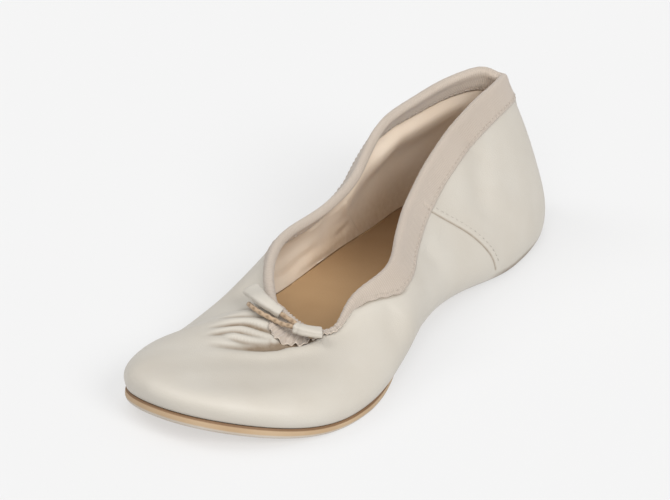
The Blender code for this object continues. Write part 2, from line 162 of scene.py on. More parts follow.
def smooth_step(value, start, end):
    """0 before start, 1 after end, and an even rise between them: 3 shares squared less 2 shares cubed."""
    share = np.clip((value - start) / (end - start), 0.0, 1.0)
    return share * share * (3.0 - 2.0 * share)


def bell(value, middle, width):
    """1 at the middle, falling on both sides as e to the power of minus the distance in widths, squared."""
    return np.exp(-((value - middle) / width) ** 2)


def sole_bottom(along):
    """Height of the sole's underside: flat at heel and ball, a cosine arch between, a squared toe spring."""
    arch_share = np.clip((along - ARCH_MIDDLE_SHARE * SOLE_LENGTH) / ARCH_HALF_LENGTH, -1.0, 1.0)
    arch = ARCH_RISE * 0.5 * (1.0 + np.cos(math.pi * arch_share))
    toe_share = np.clip((-along / SOLE_LENGTH - SPRING_START_SHARE) / SPRING_LENGTH_SHARE, 0.0, None)
    return arch + TOE_SPRING * toe_share ** 2


def sole_top(along):
    """Height of the sole's upper face: the underside plus a thickness that grows from heel to ball to toe."""
    fore = smooth_step(-along / SOLE_LENGTH, *FORE_SHARES)
    toe = smooth_step(-along / SOLE_LENGTH, *TOE_SHARES)
    thickness = HEEL_SOLE + (BALL_SOLE - HEEL_SOLE) * fore + (TOE_SOLE - BALL_SOLE) * toe
    return sole_bottom(along) + thickness


def above_sole(along, height):
    """A height square to the sole's upper face: the face plus height times the root of 1 + slope squared."""
    slope = (sole_top(along + SLOPE_STEP) - sole_top(along - SLOPE_STEP)) / (2.0 * SLOPE_STEP)
    return sole_top(along) + height * np.sqrt(1.0 + slope ** 2)


def tuck_share(around):
    """How far the wall rolls under: 0 at the forefoot, where the sole's edge shows, 1 at waist and heel."""
    return np.clip(closed_curve(around_the_last("tuck"), around), 0.0, 1.0)


def foot_line(around):
    """Feather line points, and the level outward direction there from the plan curve's slope."""
    across_values = around_the_last("foot_outer", "foot_inner", -1.0) * BALL_WIDTH
    along_values = around_the_last("foot_along") * SOLE_LENGTH
    across = closed_curve(across_values, around)
    along = closed_curve(along_values, around)
    across_slope = closed_curve(across_values, around, slope=True)
    along_slope = closed_curve(along_values, around, slope=True)
    length = np.hypot(across_slope, along_slope)
    height = above_sole(along, GAP) - ROLL_DROP * tuck_share(around) ** 2
    points = np.stack([across, along, height], axis=-1)
    outwards = np.stack([-along_slope / length, across_slope / length, np.zeros_like(length)], axis=-1)
    return points, outwards


def top_line(around):
    """Points of the upper's top edge."""
    across = closed_curve(around_the_last("top_outer", "top_inner", -1.0) * OPENING_WIDTH, around)
    along = closed_curve(around_the_last("top_along") * SOLE_LENGTH, around)
    rise = closed_curve(around_the_last("rise_outer", "rise_inner"), around)
    height = THROAT_HEIGHT + (HEEL_HEIGHT - THROAT_HEIGHT) * rise
    return np.stack([across, along, height], axis=-1)


def wall_point(around, up):
    """The smooth wall: a cubic curve from feather line (up 0) to top line (up 1), bulged by two handles."""
    around = np.asarray(around, float)
    share = np.asarray(up, float)[..., None]
    foot, outwards = foot_line(around)
    top = top_line(around)
    upwards = np.array([0.0, 0.0, 1.0])
    low_out = closed_curve(around_the_last("low_out"), around)[..., None] * BALL_WIDTH
    low_rise = closed_curve(around_the_last("low_rise"), around)[..., None] * top[..., 2:]
    top_out = closed_curve(around_the_last("top_out"), around)[..., None] * SOLE_LENGTH
    low_handle = foot + outwards * low_out + upwards * low_rise
    top_handle = top + outwards * top_out - upwards * TOP_FALL_SHARE * top[..., 2:]
    rest = 1.0 - share
    return (foot * rest ** 3 + 3.0 * low_handle * share * rest ** 2
            + 3.0 * top_handle * share ** 2 * rest + top * share ** 3)


def wall_frame(around, up):
    """Point, outward direction and upward direction of the smooth wall, from small steps along it."""
    around_way = wall_point(around + SLOPE_STEP, up) - wall_point(around - SLOPE_STEP, up)
    up_way = wall_point(around, up + SLOPE_STEP) - wall_point(around, up - SLOPE_STEP)
    return wall_point(around, up), unit(np.cross(up_way, around_way)), unit(up_way)


def share_below_top(around, drop):
    """The share of the way up at which the wall lies drop below its top edge, found by closing in on it."""
    around, drop = np.broadcast_arrays(np.asarray(around, float), np.asarray(drop, float))
    top = wall_point(around, np.ones_like(around))
    below = np.full_like(around, CLOSING_START)
    for _ in range(CLOSING_ROUNDS):
        reached = np.linalg.norm(wall_point(around, 1.0 - below) - top, axis=-1)
        below = below * np.clip(drop / np.maximum(reached, TINY), *CLOSING_LIMITS)
    return 1.0 - below


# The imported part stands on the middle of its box, so the last moves there. The solid upper's widest points
# lie on these columns and rows of the wall.
PACKED_COLUMNS = 84
PACKED_ROWS = 12
PACKED_POWER = 1.4
packed_around = np.arange(PACKED_COLUMNS)[None, :] / PACKED_COLUMNS
packed_up = 1.0 - (1.0 - np.linspace(0.0, 1.0, PACKED_ROWS)[:, None]) ** PACKED_POWER
packed_wall = wall_point(packed_around, packed_up).reshape(-1, 3)
upper_low, upper_high = (np.array(corner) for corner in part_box("upper"))
LAST_SHIFT = (upper_low + upper_high - packed_wall.min(axis=0) - packed_wall.max(axis=0)) / 2.0
LAST_SHIFT[2] = 0.0

# Main creases. A path's points are the share of the way around and the drop below the top line in metres.
# Width and depth are in metres, the ridges are shares of depth on the path's left and right, and the fades
# are the shares of the path over which the crease comes in and dies away.
CREASE_COLUMNS = ("path", "width", "depth", "left_ridge", "right_ridge", "fade_in", "fade_out")
CREASES = {
    "fold across the vamp": (
        ((0.440, 0.0008), (0.459, 0.0020), (0.474, 0.0052), (0.486, 0.0096), (0.496, 0.0131), (0.502, 0.0178),
         (0.514, 0.0242), (0.527, 0.0311), (0.536, 0.0360)),
        0.0022, 0.0019, 0.50, 0.10, 0.10, 0.45),
    "upper pleat": (
        ((0.514, 0.0100), (0.526, 0.0116), (0.545, 0.0150), (0.552, 0.0225), (0.554, 0.0285)),
        0.0017, 0.0011, 0.45, 0.30, 0.05, 0.45),
    "middle pleat": (
        ((0.509, 0.0130), (0.522, 0.0162), (0.537, 0.0200), (0.542, 0.0262), (0.544, 0.0320)),
        0.0016, 0.0010, 0.45, 0.30, 0.05, 0.45),
    "lower pleat": (
        ((0.504, 0.0147), (0.513, 0.0184), (0.523, 0.0225), (0.535, 0.0255), (0.547, 0.0285)),
        0.0016, 0.0008, 0.45, 0.35, 0.05, 0.50),
    "inner pleat": (
        ((0.540, 0.0060), (0.556, 0.0100), (0.568, 0.0165), (0.575, 0.0225)),
        0.0015, 0.0006, 0.45, 0.35, 0.10, 0.50),
    "inner short pleat": (
        ((0.572, 0.0030), (0.588, 0.0080), (0.600, 0.0150)),
        0.0016, 0.0005, 0.45, 0.35, 0.10, 0.55),
    "corner fold": (
        ((0.285, 0.0105), (0.306, 0.0087), (0.321, 0.0068), (0.335, 0.0050), (0.352, 0.0033),
         (0.373, 0.0014)),
        0.0012, 0.0005, 0.35, 0.20, 0.25, 0.20),
    "corner dent": (
        ((0.318, 0.0110), (0.330, 0.0170), (0.338, 0.0240)),
        0.0045, 0.0007, 0.30, 0.30, 0.20, 0.60),
    "outer heel fold": (
        ((0.108, 0.0100), (0.118, 0.0160), (0.140, 0.0260), (0.150, 0.0330)),
        0.0060, 0.0009, 0.35, 0.25, 0.30, 0.50),
    "outer waist fold": (
        ((0.235, 0.0110), (0.228, 0.0200), (0.212, 0.0290)),
        0.0050, 0.0006, 0.30, 0.30, 0.20, 0.50),
    "inner heel fold": (
        ((0.888, 0.0100), (0.878, 0.0180), (0.862, 0.0280)),
        0.0060, 0.0009, 0.30, 0.30, 0.30, 0.50),
    "inner waist fold": (
        ((0.765, 0.0110), (0.772, 0.0190), (0.790, 0.0270)),
        0.0050, 0.0007, 0.30, 0.30, 0.20, 0.50),
}
CREASE_REACH = 5.0
RIDGE_PLACE = 1.9
RIDGE_WIDTH = 1.3
DEEPEST_CREASE = 0.0020
# The side seams, from the tape down to the sole, as the same kind of path.
SEAMS = {
    "outer": ((0.2035, 0.0060), (0.198, 0.0101), (0.173, 0.0276), (0.160, 0.0409), (0.1545, 0.0500)),
    "inner": ((0.7965, 0.0060), (0.802, 0.0101), (0.827, 0.0276), (0.840, 0.0409), (0.8455, 0.0500)),
}
SEAM_LAP = 0.00016
SEAM_LAP_REACH = 0.0060
SEAM_GROOVE = 0.00026
SEAM_GROOVE_WIDTH = 0.00045
SEAM_SHADE = 0.75
SEAM_STITCH_OFFSET = 0.0021
SEAM_FAR = 0.0080
# Soft waves of the whole wall: how many metres they rise, their waves per metre along X, Y and Z, a start.
WAVES = (
    (0.00009, (31.0, 22.0, 12.0), 0.4),
    (0.00008, (-18.0, 37.0, 25.0), 2.1),
    (0.00006, (44.0, -29.0, 33.0), 4.0),
    (0.00004, (-61.0, 52.0, -38.0), 1.3),
)
# Gathers at the throat, drawn up by the string inside the tape.
GATHER_RISE = 0.00018
GATHER_COUNT = 66.0
GATHER_SLANT = 2.0
GATHER_SLANT_TURN = 31.0
GATHER_FADE = 0.0055
GATHER_SPAN = (0.415, 0.455, 0.560, 0.610)
ROUTE_STEPS = 14


def smooth_through(knots, steps):
    """A row of values joined by a Catmull-Rom curve: each step is a cubic of the four knots about it."""
    ends = np.concatenate([2.0 * knots[:1] - knots[1:2], knots, 2.0 * knots[-1:] - knots[-2:-1]])
    before, start, end, after = (ends[i:i + len(knots) - 1, None] for i in range(4))
    share = (np.arange(steps) / steps)[None, :, None]
    smooth = (start + 0.5 * share * (end - before)
              + share ** 2 * (before - 2.5 * start + 2.0 * end - 0.5 * after)
              + share ** 3 * (1.5 * (start - end) + 0.5 * (after - before)))
    return np.concatenate([smooth.reshape(-1, knots.shape[1]), knots[-1:]])


def wall_path(path):
    """A given path as shares around and up, joined smoothly."""
    pairs = smooth_through(np.array(path), ROUTE_STEPS)
    return pairs[:, 0], share_below_top(pairs[:, 0], pairs[:, 1])


def signed_distance(points, outwards, line, far):
    """Distance of wall points from a line on the wall, + on its left, with the share of the way along it.

    Each point takes the nearest of the line's straight steps: the foot of its perpendicular, kept within it.
    """
    flat = points.reshape(-1, 3)
    normals = outwards.reshape(-1, 3)
    distance = np.full(len(flat), far)
    along = np.zeros(len(flat))
    near = np.flatnonzero(np.all((flat > line.min(axis=0) - far) & (flat < line.max(axis=0) + far), axis=1))
    starts = line[:-1]
    steps = np.diff(line, axis=0)
    offset = flat[near, None] - starts
    share = np.clip((offset * steps).sum(axis=-1) / (steps ** 2).sum(axis=-1), 0.0, 1.0)
    away = offset - steps * share[..., None]
    gap = np.linalg.norm(away, axis=-1)
    best = gap.argmin(axis=1)
    pick = np.arange(len(best))
    side = (np.cross(steps[best], away[pick, best]) * normals[near]).sum(axis=-1)
    distance[near] = np.where(side >= 0.0, 1.0, -1.0) * np.minimum(gap[pick, best], far)
    along[near] = (best + share[pick, best]) / len(steps)
    return distance.reshape(points.shape[:-1]), along.reshape(points.shape[:-1])


def crease_height(points, outwards, creases):
    """Sum of the creases: a bell-shaped trough with a softer ridge on each side, times its fades.

    Where creases meet, the sum runs into the deepest crease as a hyperbolic tangent does.
    """
    total = np.zeros(points.shape[:-1])
    for row in creases.values():
        crease = dict(zip(CREASE_COLUMNS, row))
        line = wall_point(*wall_path(crease["path"]))
        distance, along = signed_distance(points, outwards, line, CREASE_REACH * crease["width"])
        place = distance / crease["width"]
        left = crease["left_ridge"] * bell(place, RIDGE_PLACE, RIDGE_WIDTH)
        right = crease["right_ridge"] * bell(place, -RIDGE_PLACE, RIDGE_WIDTH)
        fade = smooth_step(along, 0.0, crease["fade_in"]) * smooth_step(along, 1.0, 1.0 - crease["fade_out"])
        total += crease["depth"] * (left + right - bell(place, 0.0, 1.0)) * fade
    return np.where(total < 0.0, DEEPEST_CREASE * np.tanh(total / DEEPEST_CREASE), total)


def seam_distance(points, outwards):
    """Distance from the nearer side seam, + towards the heel."""
    nearest = np.full(points.shape[:-1], SEAM_FAR)
    for side, path in SEAMS.items():
        distance, _ = signed_distance(points, outwards, wall_point(*wall_path(path)), SEAM_FAR)
        distance = distance if side == "outer" else -distance
        nearest = np.where(np.abs(distance) < np.abs(nearest), distance, nearest)
    return nearest


def seam_groove(seam):
    """1 in the groove beside a seam, from the distance to it."""
    return bell(seam, -SEAM_GROOVE_WIDTH, SEAM_GROOVE_WIDTH)


def gather_height(around, drop):
    """Small pleats that hang from the throat: a slanting sine that dies away below the tape."""
    span = smooth_step(around, *GATHER_SPAN[:2]) * (1.0 - smooth_step(around, *GATHER_SPAN[2:]))
    turn = 2.0 * math.pi * (GATHER_COUNT * around + GATHER_SLANT * np.sin(GATHER_SLANT_TURN * around))
    return GATHER_RISE * span * np.sin(turn) * bell(drop, 0.0, GATHER_FADE)


def wall_relief(around, points, outwards):
    """Height of the creased leather over the smooth wall: waves, creases, gathers and the seams' lap."""
    height = crease_height(points, outwards, CREASES)
    for rise, waves, start in WAVES:
        height = height + rise * np.sin(2.0 * math.pi * points @ np.array(waves) + start)
    drop = np.linalg.norm(points - top_line(around), axis=-1)
    height = height + gather_height(around, drop)
    seam = seam_distance(points, outwards)
    lap = smooth_step(seam, -SEAM_GROOVE_WIDTH, SEAM_GROOVE_WIDTH) * smooth_step(seam, SEAM_LAP_REACH, 0.0)
    return height + SEAM_LAP * lap - SEAM_GROOVE * seam_groove(seam)


def skin(around, up, lift=0.0):
    """A point of the creased wall, lifted off it, and the smooth wall's outward and upward directions."""
    point, outwards, up_way = wall_frame(around, up)
    around = np.broadcast_to(around, point.shape[:-1])
    height = wall_relief(around, point, outwards) + lift
    return point + outwards * np.asarray(height)[..., None], outwards, up_way


def grid_mesh(name, points, rows_closed=True, columns_closed=True, uv=None):
    """A mesh of four-sided faces from rows of points; uv has a place for each point and each wrapped one."""
    rows, columns = points.shape[:2]
    index = np.arange(rows * columns).reshape(rows, columns)
    if rows_closed:
        index = np.concatenate([index, index[:1]])
    if columns_closed:
        index = np.concatenate([index, index[:, :1]], axis=1)
    low, high = index[:-1], index[1:]
    faces = np.stack([low[:, :-1], high[:, :-1], high[:, 1:], low[:, 1:]], axis=-1).reshape(-1, 4)
    mesh = bpy.data.meshes.new(name)
    mesh.from_pydata((points + LAST_SHIFT).reshape(-1, 3).tolist(), [], faces.tolist())
    if uv is not None:
        corners = np.stack([uv[:-1, :-1], uv[1:, :-1], uv[1:, 1:], uv[:-1, 1:]], axis=2)
        mesh.uv_layers.new(name="cloth").data.foreach_set("uv", corners.astype(np.float32).ravel())
    mesh.shade_smooth()
    return mesh


def paint(mesh, name, values):
    """Keep one number for each point of the mesh, for its material to read."""
    kept = mesh.attributes.new(name, "FLOAT", "POINT")
    kept.data.foreach_set("value", values.astype(np.float32).ravel())


def put(name, mesh, material, slot, *nodes):
    """Make the piece, let it move with the shoe and let it stand for its solids; the slot is not used."""
    piece = bpy.data.objects.new(name, mesh)
    bpy.context.scene.collection.objects.link(piece)
    piece.data.materials.append(material)
    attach(piece, "root")
    if nodes:
        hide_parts(*nodes)
    return piece


class Shade:
    """A socket of a material: sums and products of shades add Math nodes, and node() adds any other node."""

    def __init__(self, tree, socket=None):
        self.tree = tree
        self.socket = socket

    def node(self, kind, settings=None, sockets=None, output=0):
        """A new node: its type, its settings, then the values or links of its sockets."""
        made = self.tree.nodes.new(kind)
        for name, value in (settings or {}).items():
            if name == "stops":
                made.color_ramp.elements.remove(made.color_ramp.elements[1])
                for i, (place, colour) in enumerate(value):
                    stop = made.color_ramp.elements[0] if i == 0 else made.color_ramp.elements.new(place)
                    stop.position = place
                    stop.color = colour
            else:
                setattr(made, name, value)
        for name, value in (sockets or {}).items():
            if isinstance(value, Shade):
                self.tree.links.new(value.socket, made.inputs[name])
            else:
                made.inputs[name].default_value = value
        return Shade(self.tree, made.outputs[output])

    def maths(self, operation, other=0.0, turned=False, clamp=False):
        """A Math node on this and another number or shade, with the other one first where turned."""
        first, second = (other, self) if turned else (self, other)
        settings = {"operation": operation, "use_clamp": clamp}
        return self.node("ShaderNodeMath", settings, {0: first, 1: second})

    def __add__(self, other):
        return self.maths("ADD", other)

    def __sub__(self, other):
        return self.maths("SUBTRACT", other)

    def __rsub__(self, other):
        return self.maths("SUBTRACT", other, turned=True)

    def __mul__(self, other):
        return self.maths("MULTIPLY", other)

    def __truediv__(self, other):
        return self.maths("DIVIDE", other)

    def __rtruediv__(self, other):
        return self.maths("DIVIDE", other, turned=True)

    __radd__ = __add__
    __rmul__ = __mul__

    def sine(self):
        """The sine of this angle."""
        return self.maths("SINE")

    def between(self, start, end):
        """0 before start and 1 after end."""
        return ((self - start) / (end - start)).maths("ADD", 0.0, clamp=True)

    def part(self, axis):
        """One number of a vector: 0, 1 or 2 for X, Y or Z."""
        return self.node("ShaderNodeSeparateXYZ", {}, {0: self}, output=axis)

    def noise(self, scale, detail=3.0):
        """Cloudy noise at this place, so many features to the metre."""
        return self.node("ShaderNodeTexNoise", {}, {"Vector": self, "Scale": scale, "Detail": detail})

    def blend(self, colour_off, colour_on, way="MIX"):
        """One colour where this is 0, and where it is 1 another, or the product of both."""
        settings = {"data_type": "RGBA", "blend_type": way}
        return self.node("ShaderNodeMix", settings, {0: self, 6: colour_off, 7: colour_on}, output=2)

    def bump(self, distance, strength, under=None):
        """This height, from 0 to 1, as a bump of so many metres, over another bump if one is given."""
        sockets = {"Height": self, "Distance": distance, "Strength": strength}
        if under is not None:
            sockets["Normal"] = under
        return self.node("ShaderNodeBump", {}, sockets)


def socket_name(word):
    """The shader's own name of a socket, from one such as base_color."""
    return word.replace("_", " ").title().replace("Ior", "IOR")


def new_finish(name, **fixed):
    """A new material with numbers on its shader's sockets, an empty shade of its tree, and those sockets."""
    material = bpy.data.materials.new(name)
    material.use_nodes = True
    shader = material.node_tree.nodes["Principled BSDF"]
    for word, value in fixed.items():
        shader.inputs[socket_name(word)].default_value = value
    return material, Shade(material.node_tree), shader.inputs


def object_place(tree):
    """The place on the piece that a pattern reads, in metres."""
    return tree.node("ShaderNodeTexCoord", output=3)


def painted(tree, name):
    """The numbers that paint() kept under a name."""
    return tree.node("ShaderNodeAttribute", {"attribute_name": name}, output=2)


def drive(inputs, **shades):
    """Link shades to the shader's sockets, as in base_color=shade."""
    for word, shade in shades.items():
        shade.tree.links.new(shade.socket, inputs[socket_name(word)])


CREAM = (0.513, 0.480, 0.425, 1.0)
CREAM_SHADE = (0.485, 0.447, 0.388, 1.0)
# Colour of the painted shade in the leather's creases and seam grooves and along the heel's lowest edge.
CREAM_CREASE_SHADE = (0.205, 0.152, 0.102, 1.0)
GRAIN_SCALE = 1250.0
FINE_SCALE = 420.0
CLOUD_SCALE = 38.0
GRAIN_RISE = 0.00005
CLOUD_RISE = 0.00025
FRONT_SHADE_SPAN = (-0.035, 0.035)


def leather_finish(name, light, shade, crease, grain_rise, front=None):
    """Nappa: cells of fine grain, faint clouds of tone, and painted shade where the crease attribute is deep.

    With a front colour, the tone changes to it from the middle of the shoe towards the toe, as painted shade.
    """
    material, tree, inputs = new_finish(name, specular_ior_level=0.34, sheen_weight=0.10, sheen_roughness=0.4)
    place = object_place(tree)
    clouds = place.noise(CLOUD_SCALE)
    fine = place.noise(FINE_SCALE)
    # The crease attribute and the crease colour give painted shade in folds, grooves and deep places.
    depth = painted(tree, "crease")
    tone = clouds.between(0.35, 0.70).blend(light, shade)
    if front is not None:
        tone = place.part(1).between(*FRONT_SHADE_SPAN).blend(front, tone)
    colour = (depth * (fine * 0.5 + 0.75)).between(0.05, 1.0).blend(tone, crease)
    cells = tree.node("ShaderNodeTexVoronoi", {"feature": "DISTANCE_TO_EDGE"},
                      {"Vector": place, "Scale": GRAIN_SCALE, "Randomness": 1.0})
    grain = (cells.between(0.0, 0.28) * 0.7 + fine * 0.6).bump(grain_rise, 0.55)
    drive(inputs, base_color=colour, roughness=0.48 + 0.12 * fine + 0.10 * depth,
          normal=clouds.bump(CLOUD_RISE, 0.35, grain))
    return material


THREAD = (0.508, 0.472, 0.415, 1.0)
STITCH_LENGTH = 0.0019
STITCH_PITCH = 0.0025
STITCH_THICKNESS = 0.00042
STITCH_RISE = 0.30
STITCH_BOW = 0.90
STITCH_END = 0.999
STITCH_RINGS = 7
STITCH_SIDES = 6
THREAD_SCALE = 2600.0
THREAD_SHADE = 0.72


def thread_finish(name, colour):
    """Sewing thread: fine flecks of a darker tone on matt fibre."""
    material, tree, inputs = new_finish(name, roughness=0.75, specular_ior_level=0.25)
    dark = tuple(THREAD_SHADE * part for part in colour[:3]) + (1.0,)
    flecks = object_place(tree).noise(THREAD_SCALE, 1.0)
    drive(inputs, base_color=flecks.between(0.3, 0.7).blend(dark, colour))
    return material


def stitch_mesh(name, centres, along, outwards):
    """Stitches as one mesh: each is a fat-ended capsule, bowed so that its ends go down into the leather.

    With t from -1 to 1 along a stitch, its radius is half its thickness times the fourth root of 1 - t^4, and
    its height, in thicknesses, is the rise less the bow times t^4.
    """
    reach = np.sin(np.linspace(-0.5, 0.5, STITCH_RINGS) * math.pi) * STITCH_END
    turn = 2.0 * math.pi * np.arange(STITCH_SIDES) / STITCH_SIDES
    radius = STITCH_THICKNESS / 2.0 * (1.0 - reach ** 4) ** 0.25
    height = STITCH_THICKNESS * (STITCH_RISE - STITCH_BOW * reach ** 4)
    local = np.stack([
        np.repeat(reach[:, None] * STITCH_LENGTH / 2.0, STITCH_SIDES, axis=1),
        radius[:, None] * np.cos(turn),
        radius[:, None] * np.sin(turn) + height[:, None],
    ], axis=-1)
    along = unit(along)
    sideways = unit(np.cross(outwards, along))
    upwards = np.cross(along, sideways)
    points = (centres[:, None, None]
              + local[None, ..., 0:1] * along[:, None, None]
              + local[None, ..., 1:2] * sideways[:, None, None]
              + local[None, ..., 2:3] * upwards[:, None, None])
    ring = np.arange(STITCH_SIDES)
    base = np.arange(len(centres))[:, None, None] * STITCH_RINGS * STITCH_SIDES
    first = base + np.arange(STITCH_RINGS - 1)[None, :, None] * STITCH_SIDES + ring
    second = first - ring + np.roll(ring, -1)
    sides = np.stack([first, second, second + STITCH_SIDES, first + STITCH_SIDES], axis=-1).reshape(-1, 4)
    start = base[:, 0] + ring[::-1]
    end = base[:, 0] + (STITCH_RINGS - 1) * STITCH_SIDES + ring
    mesh = bpy.data.meshes.new(name)
    mesh.from_pydata((points + LAST_SHIFT).reshape(-1, 3).tolist(), [],
                     sides.tolist() + start.tolist() + end.tolist())
    mesh.shade_smooth()
    return mesh


def line_reach(line):
    """The length along a line up to each of its points."""
    return summed(np.linalg.norm(np.diff(line, axis=0), axis=1))


def read_line(values, reach, distances):
    """A line's points or directions at distances from its start."""
    return np.stack([np.interp(distances, reach, values[:, i]) for i in range(3)], axis=-1)


def stitch_row(line, outwards):
    """Places a stitch apart on a line, from half a pitch in: points, directions along and outwards."""
    reach = line_reach(line)
    places = np.arange(STITCH_PITCH / 2.0, reach[-1] - STITCH_PITCH / 2.0, STITCH_PITCH)
    quarter = STITCH_PITCH / 4.0
    along = read_line(line, reach, places + quarter) - read_line(line, reach, places - quarter)
    return read_line(line, reach, places), along, read_line(outwards, reach, places)


def sew(name, stitch_rows, thread, slot):
    """Put rows of stitches on the shoe as one piece."""
    centres, along, outwards = (np.concatenate(part) for part in zip(*stitch_rows))
    put(name, stitch_mesh(name, centres, along, outwards), thread, slot)


# Painted shade on the leather: darker in its sharp folds and seam grooves, a warm painted shade between
# the pleats (about a place around and a drop, each with its reach), and a painted shadow along its lowest
# edge at the heel, where it meets the sole.
SHARP_WIDTH = 0.0025
SHARP_DEPTH = 0.0008
PLEAT_SHADE = 0.13
PLEAT_MIDDLE = (0.525, 0.0165)
PLEAT_REACH = (0.022, 0.0080)
HEEL_EDGE_SPAN = (0.335, 0.365)
HEEL_EDGE_SHADE = 0.9
HEEL_EDGE_WIDTH = 0.0029
# Columns stand closer together where seams and pleats need them: the places around, their reach and how much
# closer. Rows stand a little closer towards the top line, and the back of the leather has fewer of them.
UPPER_COLUMNS = 660
UPPER_ROWS = 112
UPPER_ROW_POWER = 0.85
BACK_ROW_STEP = 4
DENSE_PLACES = ((0.178, 0.030, 1.6), (0.822, 0.030, 1.6), (0.525, 0.045, 2.4))
DENSITY_STEPS = 4001
HALF_ROLL = 0.35
SETTLED_FROM = 0.10
SEAM_STITCH_SEAT = 0.6


def crowded_places(count):
    """Shares around, closer together by the dense places: even steps of the sum of 1 and some bell curves."""
    fine = np.linspace(0.0, 1.0, DENSITY_STEPS)
    density = np.ones_like(fine)
    for middle, width, extra in DENSE_PLACES:
        density += extra * bell(fine, middle, width)
    total = summed((density[1:] + density[:-1]) / 2.0)
    return np.interp(np.arange(count) / count, total / total[-1], fine)


around = crowded_places(UPPER_COLUMNS)
foot, level_out = foot_line(around)
inner_edge = foot - level_out * LASTING_MARGIN
roll_share = ROLL_LEAST_SHARE + (1.0 - ROLL_LEAST_SHARE) * tuck_share(around)
roll_edge = foot - level_out * (ROLL_WIDTH * roll_share)[:, None]
for row in (inner_edge, roll_edge):
    row[:, 2] = above_sole(row[:, 1], GAP)
half_roll = roll_edge * HALF_ROLL + foot * (1.0 - HALF_ROLL)
up = (np.linspace(0.0, 1.0, UPPER_ROWS) ** UPPER_ROW_POWER)[:, None]
smooth_wall, wall_out, _ = wall_frame(around[None, :], up)
relief = wall_relief(np.broadcast_to(around, smooth_wall.shape[:-1]), smooth_wall, wall_out)
settled = smooth_step(up, 0.0, SETTLED_FROM)
leather_face = smooth_wall + wall_out * (relief * settled)[..., None]
back_rows = np.concatenate([np.arange(UPPER_ROWS - 1, 0, -BACK_ROW_STEP), [0]])
leather_back = (leather_face - wall_out * UPPER_THICKNESS)[back_rows]
margin_back = inner_edge + np.array([0.0, 0.0, UPPER_THICKNESS])
under_rows = np.stack([inner_edge, roll_edge, half_roll])
upper_points = np.concatenate([under_rows, leather_face, leather_back, margin_back[None]])
upper_mesh = grid_mesh("upper_leather", upper_points)

sharp = {name: row for name, row in CREASES.items() if row[1] < SHARP_WIDTH}
# Painted shade in the sharp creases, as deep as they are.
trough = np.clip(-crease_height(smooth_wall, wall_out, sharp) / SHARP_DEPTH, 0.0, 1.0) * settled
drop = np.linalg.norm(smooth_wall - top_line(around), axis=-1)
# A warm painted shade between the pleats.
pleat_shade = PLEAT_SHADE * (bell(around, PLEAT_MIDDLE[0], PLEAT_REACH[0])
                         * bell(drop, PLEAT_MIDDLE[1], PLEAT_REACH[1]))
# Painted shade in the grooves beside the seams.
groove = SEAM_SHADE * seam_groove(seam_distance(smooth_wall, wall_out))
# A painted shadow along the upper's lowest edge at the heel, where it meets the sole.
foot_gap = np.linalg.norm(smooth_wall - foot, axis=-1)
heel_share = smooth_step(np.abs(around - 0.5), *HEEL_EDGE_SPAN)
heel_shadow_line = HEEL_EDGE_SHADE * heel_share * np.exp(-(foot_gap / HEEL_EDGE_WIDTH) ** 4)
# The crease attribute of the upper holds its painted shade and painted shadow.
crease = np.zeros(upper_points.shape[:2])
first_row = len(under_rows)
crease[first_row:first_row + UPPER_ROWS] = np.clip(np.maximum(trough, groove) + pleat_shade + heel_shadow_line, 0.0, 1.0)
crease[:first_row] = heel_shadow_line[:1]
paint(upper_mesh, "crease", crease)
nappa = leather_finish("cream nappa", CREAM, CREAM_SHADE, CREAM_CREASE_SHADE, GRAIN_RISE)
put("upper_leather", upper_mesh, nappa, "upper_leather", "upper")

cream_thread = thread_finish("cream thread", THREAD)
seam_rows = []
for side, path in SEAMS.items():
    seam_around, seam_up = wall_path(path)
    point, outwards, _ = skin(seam_around, seam_up)
    towards_heel = unit(np.cross(outwards, np.gradient(point, axis=0)))
    towards_heel *= 1.0 if side == "outer" else -1.0
    line = point + towards_heel * SEAM_STITCH_OFFSET + outwards * SEAM_LAP * SEAM_STITCH_SEAT
    seam_rows.append(stitch_row(line, outwards))
sew("seam_stitches", seam_rows, cream_thread, "upper_leather")


# Lining
# Thin grey-beige leather inside the upper, from under the tape down to the insole. It has folds of its own
# low on the inner side, and at the inner ankle it stands off the wall in a soft bulge.
LINING_TOP_DROP = 0.0030
LINING_LOW_EDGE = 0.02
LINING_GAP = 0.00004
LINING_SLACK = 0.30
LINING_ROWS = 62
LINING_COLUMNS = 520
# Lining colours: painted light at waist and heel, where light falls in, and painted shade towards the toe.
LINING = (0.890, 0.780, 0.650, 1.0)
LINING_SHADE = (0.860, 0.725, 0.575, 1.0)
LINING_FRONT_SHADE = (0.450, 0.388, 0.322, 1.0)
# Colour of the painted shade in the lining's folds and low in its heel half.
LINING_DEEP_SHADE = (0.420, 0.270, 0.145, 1.0)
LINING_FOLD_DEPTH = 0.0008
LINING_FOLD_SHADE = 0.6
LINING_GRAIN_RISE = 0.00003
LINING_FREE_DROP = (0.0092, 0.0160)
LINING_LOW_SPAN = (0.05, 0.60)
LINING_LOW_SHADE = 0.75
LINING_LOW_FROM = (-0.030, 0.030)
LINING_CREASES = {
    "low fold": (
        ((0.725, 0.0268), (0.745, 0.0262), (0.765, 0.0254), (0.785, 0.0252)),
        0.0018, 0.0005, 0.60, 0.50, 0.40, 0.40),
    "lower fold": (
        ((0.752, 0.0292), (0.775, 0.0300), (0.800, 0.0330), (0.822, 0.0350)),
        0.0015, 0.0006, 0.60, 0.50, 0.40, 0.40),
    "ankle fold": (
        ((0.800, 0.0290), (0.818, 0.0320), (0.836, 0.0350)),
        0.0014, 0.0005, 0.50, 0.50, 0.40, 0.40),
    "inner front fold": (
        ((0.700, 0.0120), (0.716, 0.0170), (0.735, 0.0200)),
        0.0024, 0.0004, 0.50, 0.40, 0.40, 0.50),
    "ankle bulge": (
        ((0.765, 0.0150), (0.800, 0.0175), (0.835, 0.0187), (0.870, 0.0185), (0.905, 0.0180),
         (0.945, 0.0172), (0.975, 0.0170)),
        0.0095, -0.0030, 0.00, 0.00, 0.30, 0.30),
}

